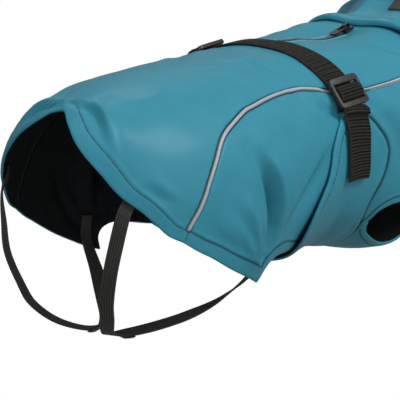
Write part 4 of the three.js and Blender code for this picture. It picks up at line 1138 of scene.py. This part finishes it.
def makeBuckleStrap(side):
    # the strap comes up through the upper window, over the middle bar and down the lower one
    bar = buckle["height"] / 2 - buckle["topBar"] - buckleWindow - buckle["midBar"] / 2
    top = buckle["thick"] + buckle["raise"] + buckle["crown"] + cloth["gap"]
    reach = buckle["midBar"] / 2 + buckleWindow - cloth["gap"] - threaded["clear"]
    b = np.linspace(-1, 1, 61)
    high = threaded["foot"] + (top - threaded["foot"]) * (1 - np.abs(b) ** threaded["squareness"])
    middle = np.stack([b * reach + bar, high], -1)
    tangent = unit(np.gradient(middle, axis=0))
    normal = np.stack([-tangent[:, 1], tangent[:, 0]], -1)
    along = np.concatenate([[0], np.cumsum(np.linalg.norm(np.diff(middle, axis=0), axis=-1))])
    a = strapProfile()[:, 0] * (webbing["half"] - threaded["narrower"])
    lift = ribs(along[:, None], a[None])
    outer = middle[:, None] + normal[:, None] * (webbing["thick"] * threaded["thin"] + lift)[..., None]
    inner = np.broadcast_to(middle[:, None], outer.shape)
    across = np.broadcast_to(a[None, :, None], outer.shape[:2] + (1,))
    outer, inner = (seated(np.concatenate([across, face], -1), side) for face in (outer, inner))
    # painted shade between the ribs
    obj = addWall(f"buckleStrap_{side}", outer, inner, dark=grooveShade(along[:, None], a[None]))
    finishPiece(obj, "webbing", materials["webbing"], materials["webbing"],
                replaces=[f"buckle_webbing_{side}"])


looseEnd = {"from": {"right": (1.5, 56.0), "left": buckle["left"]}, "start": 8.6, "length": 37.1,
            "foldTo": 7.6, "foldHeight": 2.7, "overBand": 64.5}


def makeLooseEnd(side, sign):
    # it steps over the band's edge, bulges where it is folded back and hangs with a slow wave
    x, deg = looseEnd["from"][side]
    start = abs(deg) + looseEnd["start"]
    end = start + looseEnd["length"]
    line = dense([(x + 0.9, start), (x - 0.2, start + 7), (x - 1.8, start + 20), (x - 2.4, end)])

    def under(along, x, deg):
        onBand = np.clip((np.abs(deg) - looseEnd["overBand"]) / 2.5, 0, 1)
        over = 0.9 * (cloth["wall"] + cloth["gap"]) * onBand
        folded = 1 - smoothStep(along, looseEnd["foldTo"] - 0.9, looseEnd["foldTo"])
        kink = looseEnd["foldHeight"] * (folded - 0.55 * (1 - smoothStep(along, 0, 3)))
        slack = (0.35 + 0.35 * np.sin(along * 0.16)) * smoothStep(along, 10, 20)
        return buckle["out"] + over + kink + slack

    addStrap(f"webbingTail_{side}", line * [1, sign], under, [f"webbing_tail_{side}"])


for side, sign in (("right", 1), ("left", -1)):
    makeBuckle(side)
    makeBuckleStrap(side)
    makeLooseEnd(side, sign)
print("buckles made")


# Leg elastics
elastic = {"width": 9.5, "thick": 1.3, "ribs": 6, "ribHeight": 0.4, "knit": 1.1, "columns": 43,
           "faceRear": (-0.15, -0.42, 0.05), "foldRows": (196, 214), "foldHeight": 1.3}
elasticRoute = np.array([     # x, y, z on the dog's right and the way the outer face looks
    (-223.2, -51.1, -67.8, -0.62, -0.78, 0.05),
    (-226.2, -47.3, -87.1, -0.76, -0.64, 0),
    (-227.8, -43.2, -107.2, -0.8, -0.58, -0.1),
    (-222.7, -35.9, -129.7, -0.78, -0.5, -0.35),
    (-217.3, -31.9, -142.1, -0.72, -0.36, -0.6),
    (-206, -22.5, -154.5, -0.6, -0.25, -0.76),
    (-190, -13, -162.5, -0.4, -0.1, -0.91),
    (-172, -12, -166, -0.1, 0.3, -0.95),
    (-154, -22, -164, 0.05, 0.4, -0.9),
    (-138, -38, -157, 0.15, 0.3, -0.93),
    (-124, -54, -146, 0.1, -0.2, -0.97),
], float)


def elasticLine():
    # from under the rear hem, round the thigh, to under the flank corner
    inside = -(elastic["thick"] / 2 + 1.1)
    ends = [(-215.5, 70, inside), (-218.8, 77.5, inside), (-113, 125.5, inside - 0.3), (-110, 117, inside)]
    rows = []
    for x, deg, out in ends:
        x, deg = np.array([x]), np.array([float(deg)])
        rows.append(np.concatenate([onCoat(x, deg, out)[0], bodyNormal(x, deg)[0]]))
    route = np.concatenate([rows[:2], elasticRoute, rows[2:]])
    step = np.linalg.norm(np.diff(route[:, :3], axis=0), axis=-1)
    reach = np.concatenate([[0], np.cumsum(step)])
    at = np.linspace(0, reach[-1], 360)
    return cubic(reach, route, at), at


def ribbon(points, facing, width, thick, profile, swell=0.0):
    # flat band: columns across it, outer and inner faces either side of its middle line
    tangent = unit(np.gradient(points, axis=0))
    across = unit(np.cross(tangent, facing))
    normal = unit(np.cross(across, tangent))
    a = np.linspace(-1, 1, profile.shape[-1])
    middle = points[:, None] + across[:, None] * (a * width / 2)[None, :, None]
    top, base = thick / 2 + profile + swell, thick / 2 + profile * 0.5
    return middle + normal[:, None] * top[..., None], middle - normal[:, None] * base[..., None]


def makeElastic(side, sign):
    # ribbon with long ribs and a fine knit, and a second layer where it is folded back and sewn down
    route, at = elasticLine()
    if sign < 0:
        # on the dog's left the elastic is turned a little, to face the rear
        turned = np.sin(np.pi * np.linspace(0, 1, len(route)))[:, None] * [elastic["faceRear"]]
        route[:, 3:] += turned * [1, sign, 1]
    a = np.linspace(-1, 1, elastic["columns"])
    wave = np.abs(np.sin(np.pi * elastic["ribs"] * (a + 1) / 2))
    rim = -0.35 * (1 - smoothStep(1 - np.abs(a), 0, 0.12))
    knit = 0.05 * np.sin(at * 2 * np.pi / elastic["knit"])[:, None] * wave
    profile = (rim - elastic["ribHeight"] * (1 - wave ** 0.8))[None] + knit
    outer, inner = ribbon(route[:, :3], route[:, 3:], elastic["width"], elastic["thick"], profile)
    flip = np.array([1, sign, 1])
    # painted shade in the valleys between the elastic's ribs
    valley = np.broadcast_to(0.8 * (1 - wave) ** 1.5, outer.shape[:2])
    obj = addWall(f"legElastic_{side}", outer * flip, inner * flip, dark=valley)
    finishPiece(obj, "webbing", materials["elastic"], materials["elastic"], replaces=[f"leg_elastic_{side}"])
    points, facing = (route[slice(*elastic["foldRows"]), k:k + 3] for k in (0, 3))
    width, row = elastic["width"] + 0.5, np.arange(len(points))
    ends = np.exp(-((row / 1.2) ** 2)) + np.exp(-((row[::-1] / 1.2) ** 2))
    over = (rim - 0.05)[None] - 0.5 * ends[:, None]
    top, _ = ribbon(points, facing, width, elastic["thick"], over, elastic["foldHeight"])
    low, _ = ribbon(points, facing, width, elastic["thick"], over * 0 - 0.1, 0.1)
    fold = addWall(f"elasticFold_{side}", top * flip, low * flip)
    finishPiece(fold, "webbing", materials["elastic"], materials["elastic"])


for side, sign in (("right", 1), ("left", -1)):
    makeElastic(side, sign)
print("leg elastics made")


# Collar: a roll over the neckline, then a narrower standing tube
collar = {
    "pitch": 32.0,
    # rows of the roll where it lies tight and where it is full: back from the neckline, height above the back
    "tight": [(0.8, 0.1), (2.0, 0.35), (2.7, 1.2), (2.3, 2.4), (1.3, 3.5), (-0.2, 4.3)],
    "full": [(0.6, 0.1), (1.8, 1.4), (3.1, 3.1), (4.0, 5.1), (3.5, 7.0), (1.3, 8.1)],
    # rows of the standing part: along the neck, and out from it
    "standing": [(3.5, 5.0), (7.5, 2.7), (10.5, -4), (15, -10.5), (22, -14.5), (32, -16.5), (44, -17)],
    "around": 300,
    "tightest": -14,          # degrees; the roll opens to both sides of here
    "footing": 7.9,           # where the first standing row lies on the scale used for gathers and tab
    "crease": 15.0,
    "hem": 8.0,
}


def collarFrame():
    # the neck's direction, and the middle of the neckline
    pitch = math.radians(collar["pitch"])
    axis = np.array([math.cos(pitch), 0, math.sin(pitch)])
    deg = np.arange(40) * 9.0
    return axis, smoothBody(neckX(deg), deg).mean(0)


def fromNape(deg, start, end):
    # 0 at the nape and 1 at the throat
    return smoothStep(np.minimum(deg, 360 - deg), start, end)


# from and to lie up the collar, start and end round it in degrees
collarTab = {"from": 37.0, "to": 53.5, "start": 9.0, "end": 27.0, "thick": 1.1}


def makeCollarTab(outer, normal, at, deg):
    # black tab sewn flat on the standing part
    rows = (at > collarTab["from"]) & (at < collarTab["to"])
    cols = (deg > collarTab["start"]) & (deg < collarTab["end"])
    base, out = outer[rows][:, cols], normal[rows][:, cols]
    tab = addWall("collarTab", base + out * collarTab["thick"], base + out * 0.15)
    finishPiece(tab, "webbing", materials["elastic"], materials["elastic"])


def collarRows(deg, opened):
    # rows of points up the collar, how far they lie along it, and the way out from the neck
    axis, centre = collarFrame()
    full = 0.5 + 0.5 * fromNape(deg, 12, 60)
    drawn = 0.42 + 0.58 * fromNape(deg, 15, 85)
    rows = []
    for tight, wide in zip(collar["tight"], collar["full"]):
        back, rise = ((1 - opened) * a + opened * b for a, b in zip(tight, wide))
        rows.append(onCoat(neckX(deg) - back, deg, cloth["wall"] + rise))
    foot = onCoat(neckX(deg), deg, cloth["wall"])
    away = foot - centre
    away = unit(away - (away @ axis)[:, None] * axis)
    for along, out in collar["standing"]:
        rows.append(foot + axis * along + away * (out * (full if out > 0 else drawn))[:, None])
    rows = np.array(rows)
    mean = np.linalg.norm(np.diff(rows, axis=0), axis=-1).mean(1)
    return rows, np.concatenate([[0], np.cumsum(mean)]), away


def collarRelief(above, deg, toLeft):
    # soft gathers that run up from the roll, a crease round the foot, and the hollow between two folds
    # on the dog's left of the nape
    turn = np.radians(deg)[None]
    rise = smoothStep(above, 4, 16) * (1 - 0.4 * smoothStep(above, 34, 50))
    gather = (0.7 * np.sin(7 * turn + 0.8) + 0.5 * np.sin(12 * turn + 2.1 + 0.03 * above)
              + 0.35 * np.sin(19 * turn + 0.05 * above))
    crease = np.exp(-(((above - collar["crease"] - 2 * np.sin(2 * turn)) / 1.8) ** 2))
    hollow = (-5.0 * np.exp(-(((toLeft + 24) / np.where(toLeft > -24, 9, 15)) ** 2))
              + 2.6 * np.exp(-(((toLeft + 54) / 17) ** 2)) + 1.5 * np.exp(-(((toLeft + 9) / 4.5) ** 2)))
    return 0.55 * gather * rise - 0.54 * crease + hollow * standing(above)


def standing(above):
    # 0 on the roll and 1 on the standing part
    return smoothStep(above, 12, 24)


def makeCollar():
    # grid through the roll's rows and the standing ones, with its relief laid on along the normal
    deg = np.arange(collar["around"]) * 360 / collar["around"]
    toLeft = np.where(deg > 180, deg - 360, deg)
    opened = smoothStep(np.abs(toLeft - collar["tightest"]), 18, 52)
    rows, reach, away = collarRows(deg, opened)
    at = fineSteps(reach[-1], 1.1, (0, reach[-1]), least=0.4, spread=0.3) * reach[-1]
    outer = cubic(reach, rows, at)
    at = at[:, None]
    above = at - reach[len(collar["full"])] + collar["footing"]
    up, around = np.gradient(outer, axis=0), np.roll(outer, -1, 1) - np.roll(outer, 1, 1)
    normal = unit(np.cross(around, up))
    if (normal * away[None]).sum() < 0:
        normal = -normal
    fromTop = at[-1] - at
    hem = (0.35 * smoothStep(-fromTop, -collar["hem"] - 0.2, -collar["hem"] + 0.6)
           - 0.35 * np.exp(-(((fromTop - collar["hem"]) / 0.5) ** 2)))
    relief = collarRelief(above, deg, toLeft) + hem - 0.4 * np.exp(-((fromTop / 0.6) ** 2))
    outer = outer + normal * relief[..., None]
    inner = outer - normal * cloth["wall"]
    # painted shadow under the roll's lower edge, most where the roll stands open, and painted shade in the
    # hollow on the dog's left of the nape
    under = (1 - smoothStep(at, 1.6 + 2.9 * opened, 3.0 + 3.8 * opened)) * (0.75 + 0.15 * opened)
    under = under + 0.6 * standing(above) * np.exp(-(((toLeft + 25) / 11) ** 2))
    obj = addWall("collarCloth", outer, inner, ring=True, dark=under)
    finishPiece(obj, "cloth", materials["shell"], materials["innerFace"], replaces=["collar"])
    makeCollarTab(outer, normal, above[:, 0], deg)


makeCollar()
print("collar made")


# Zip on the spine
zipper = {"from": 16.0, "lipsTo": 96.0, "to": 107.0, "lipHalf": 1.8, "lipHeight": 0.95, "lipAt": 3.9,
          "tapeHalf": 1.9, "tapeTop": 0.35, "toothPitch": 1.25, "toothLength": 3.2, "toothWidth": 0.8,
          "toothHeight": 0.9, "toothRise": 0.95, "rings": 7, "around": 8}


def makeZipLip(side, sign):
    # low rounded bead of cloth on each side of the coil, tapered at both ends
    a = np.linspace(-1, 1, 17)
    profile = np.stack([a, zipper["lipHeight"] * (np.sqrt(np.clip(1 - a**4, 0, 1)) - 1)], -1)
    line = dense([(x, sign * zipper["lipAt"]) for x in (zipper["from"], 60, zipper["lipsTo"])], 200)
    low, length = cloth["wall"] + cloth["gap"] * 0.2, zipper["lipsTo"] - zipper["from"]

    def over(along, x, deg):
        ends = np.sqrt(np.clip(np.minimum(along, length - along) / 4, 0.02, 1))
        return low + zipper["lipHeight"] * ends + 0.1 * np.sin(along * 0.5)

    x, deg, under, top, _ = strip(line, zipper["lipHalf"], lambda *v: low, over, profile, step=1.2)
    obj = addWall(f"zipLip_{side}", onCoat(x, deg, np.maximum(top, low + 0.05)), onCoat(x, deg, under - 0.15))
    # the lips take the paler lip colour, a painted highlight
    finishPiece(obj, "cloth", materials["lip"], materials["lip"], replaces=[f"zip_lip_{side}"])


def makeZipChain():
    # tape, and a row of rounded coil turns across it
    a = np.linspace(-1, 1, 9)
    line = dense([(zipper["from"], 0.0), (60, 0.0), (zipper["to"], 0.0)], 200)
    top = cloth["wall"] + zipper["tapeTop"]
    x, deg, under, over, _ = strip(line, zipper["tapeHalf"], lambda *v: cloth["wall"] + 0.1, lambda *v: top,
                                   np.stack([a, 0 * a], -1), step=1.5)
    tape = addWall("zipTape", onCoat(x, deg, over), onCoat(x, deg, under))
    finishPiece(tape, "zip_chain", materials["tape"], materials["tape"], replaces=["zip_chain"])
    at = np.arange(zipper["from"] + 1, zipper["to"] - 8, zipper["toothPitch"])
    u = np.linspace(-1, 1, zipper["rings"])
    turn = np.arange(zipper["around"]) * 2 * np.pi / zipper["around"]
    base = onCoat(at, 0 * at, top)
    normal = bodyNormal(at, 0 * at)
    forward = unit(np.gradient(base, axis=0))
    across = np.array([0.0, 1.0, 0.0])
    swell = np.sqrt(np.clip(1 - u**6, 0.03, 1))
    rings = (forward[:, None, None] * (np.cos(turn) * zipper["toothWidth"] / 2)[None, None, :, None]
             + normal[:, None, None] * (np.sin(turn) * zipper["toothHeight"] / 2)[None, None, :, None])
    grid = (base[:, None, None] + normal[:, None, None] * zipper["toothRise"]
            + across * (u * zipper["toothLength"] / 2)[None, :, None, None]
            + rings * swell[None, :, None, None])
    faces = spindleFaces(len(at), zipper["rings"], zipper["around"], flipped=True)
    coil = addMesh("zipCoil", grid.reshape(-1, 3), faces)
    finishPiece(coil, "zip_chain", materials["coil"])


for side, sign in (("right", 1), ("left", -1)):
    makeZipLip(side, sign)
makeZipChain()
for name in ("zip_slider", "zip_pull"):
    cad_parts[name].data.materials.clear()
    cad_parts[name].data.materials.append(materials["metal"])
print("zip made")


# Stage: pale floor and soft studio light
stage = {
    "floorHeight": -0.36,
    "lights": [       # name, place, size, watts
        ("keyLight", (0.55, -1.3, 1.35), 0.8, 21.0),
        ("overheadLight", (-0.1, 0.0, 1.8), 1.0, 5.5),
        ("sideLight", (0.1, -1.9, 0.35), 1.2, 6.0),
        ("rearLight", (-1.85, -0.6, 0.5), 1.2, 8.5),
        ("farLight", (1.0, 0.75, 1.2), 0.4, 1.6),
    ],
    "aim": (-0.03, 0, -0.08),
    "world": 0.3,
    "floorHalf": 12.0,
    "floorGrey": 0.3,
}


def makeFloor():
    # a wide square that the camera sees white, and that gives the part a soft grey from below
    mesh = bpy.data.meshes.new("floor")
    half, z = stage["floorHalf"], stage["floorHeight"]
    corners = [(-half, -half, z), (half, -half, z), (half, half, z), (-half, half, z)]
    mesh.from_pydata(corners, [], [(0, 1, 2, 3)])
    floor = addObject("floor", mesh)
    material = bpy.data.materials.new("paleFloor")
    tree = nodeTree(material)
    out = addNode(tree, "ShaderNodeOutputMaterial")
    shader = addNode(tree, "ShaderNodeBsdfPrincipled", Roughness=0.9)
    shader.inputs["Base Color"].default_value = (*[stage["floorGrey"]] * 3, 1)
    shader.inputs["Specular IOR Level"].default_value = 0.0
    seen = addNode(tree, "ShaderNodeLightPath")
    white = addNode(tree, "ShaderNodeEmission", Strength=1.0)
    both = addNode(tree, "ShaderNodeMixShader")
    tree.links.new(seen.outputs["Is Camera Ray"], both.inputs[0])
    tree.links.new(shader.outputs["BSDF"], both.inputs[1])
    tree.links.new(white.outputs["Emission"], both.inputs[2])
    tree.links.new(both.outputs["Shader"], out.inputs["Surface"])
    floor.data.materials.append(material)


def makeLights():
    # square lamps that face the part, and an even white sky
    for name, place, size, watts in stage["lights"]:
        light = bpy.data.lights.new(name, "AREA")
        light.shape, light.size, light.energy = "SQUARE", size, watts
        lamp = addObject(name, light)
        lamp.location = place
        toward = Vector(stage["aim"]) - Vector(place)
        lamp.rotation_mode = "QUATERNION"
        lamp.rotation_quaternion = toward.to_track_quat("-Z", "Y")
    world = bpy.data.worlds.new("studio")
    bpy.context.scene.world = world
    tree = nodeTree(world)
    out = addNode(tree, "ShaderNodeOutputWorld")
    sky = addNode(tree, "ShaderNodeBackground", Color=(1, 1, 1, 1), Strength=stage["world"])
    tree.links.new(sky.outputs["Background"], out.inputs["Surface"])
    bpy.context.scene.view_settings.view_transform = "Standard"


makeFloor()
makeLights()
print("stage made")
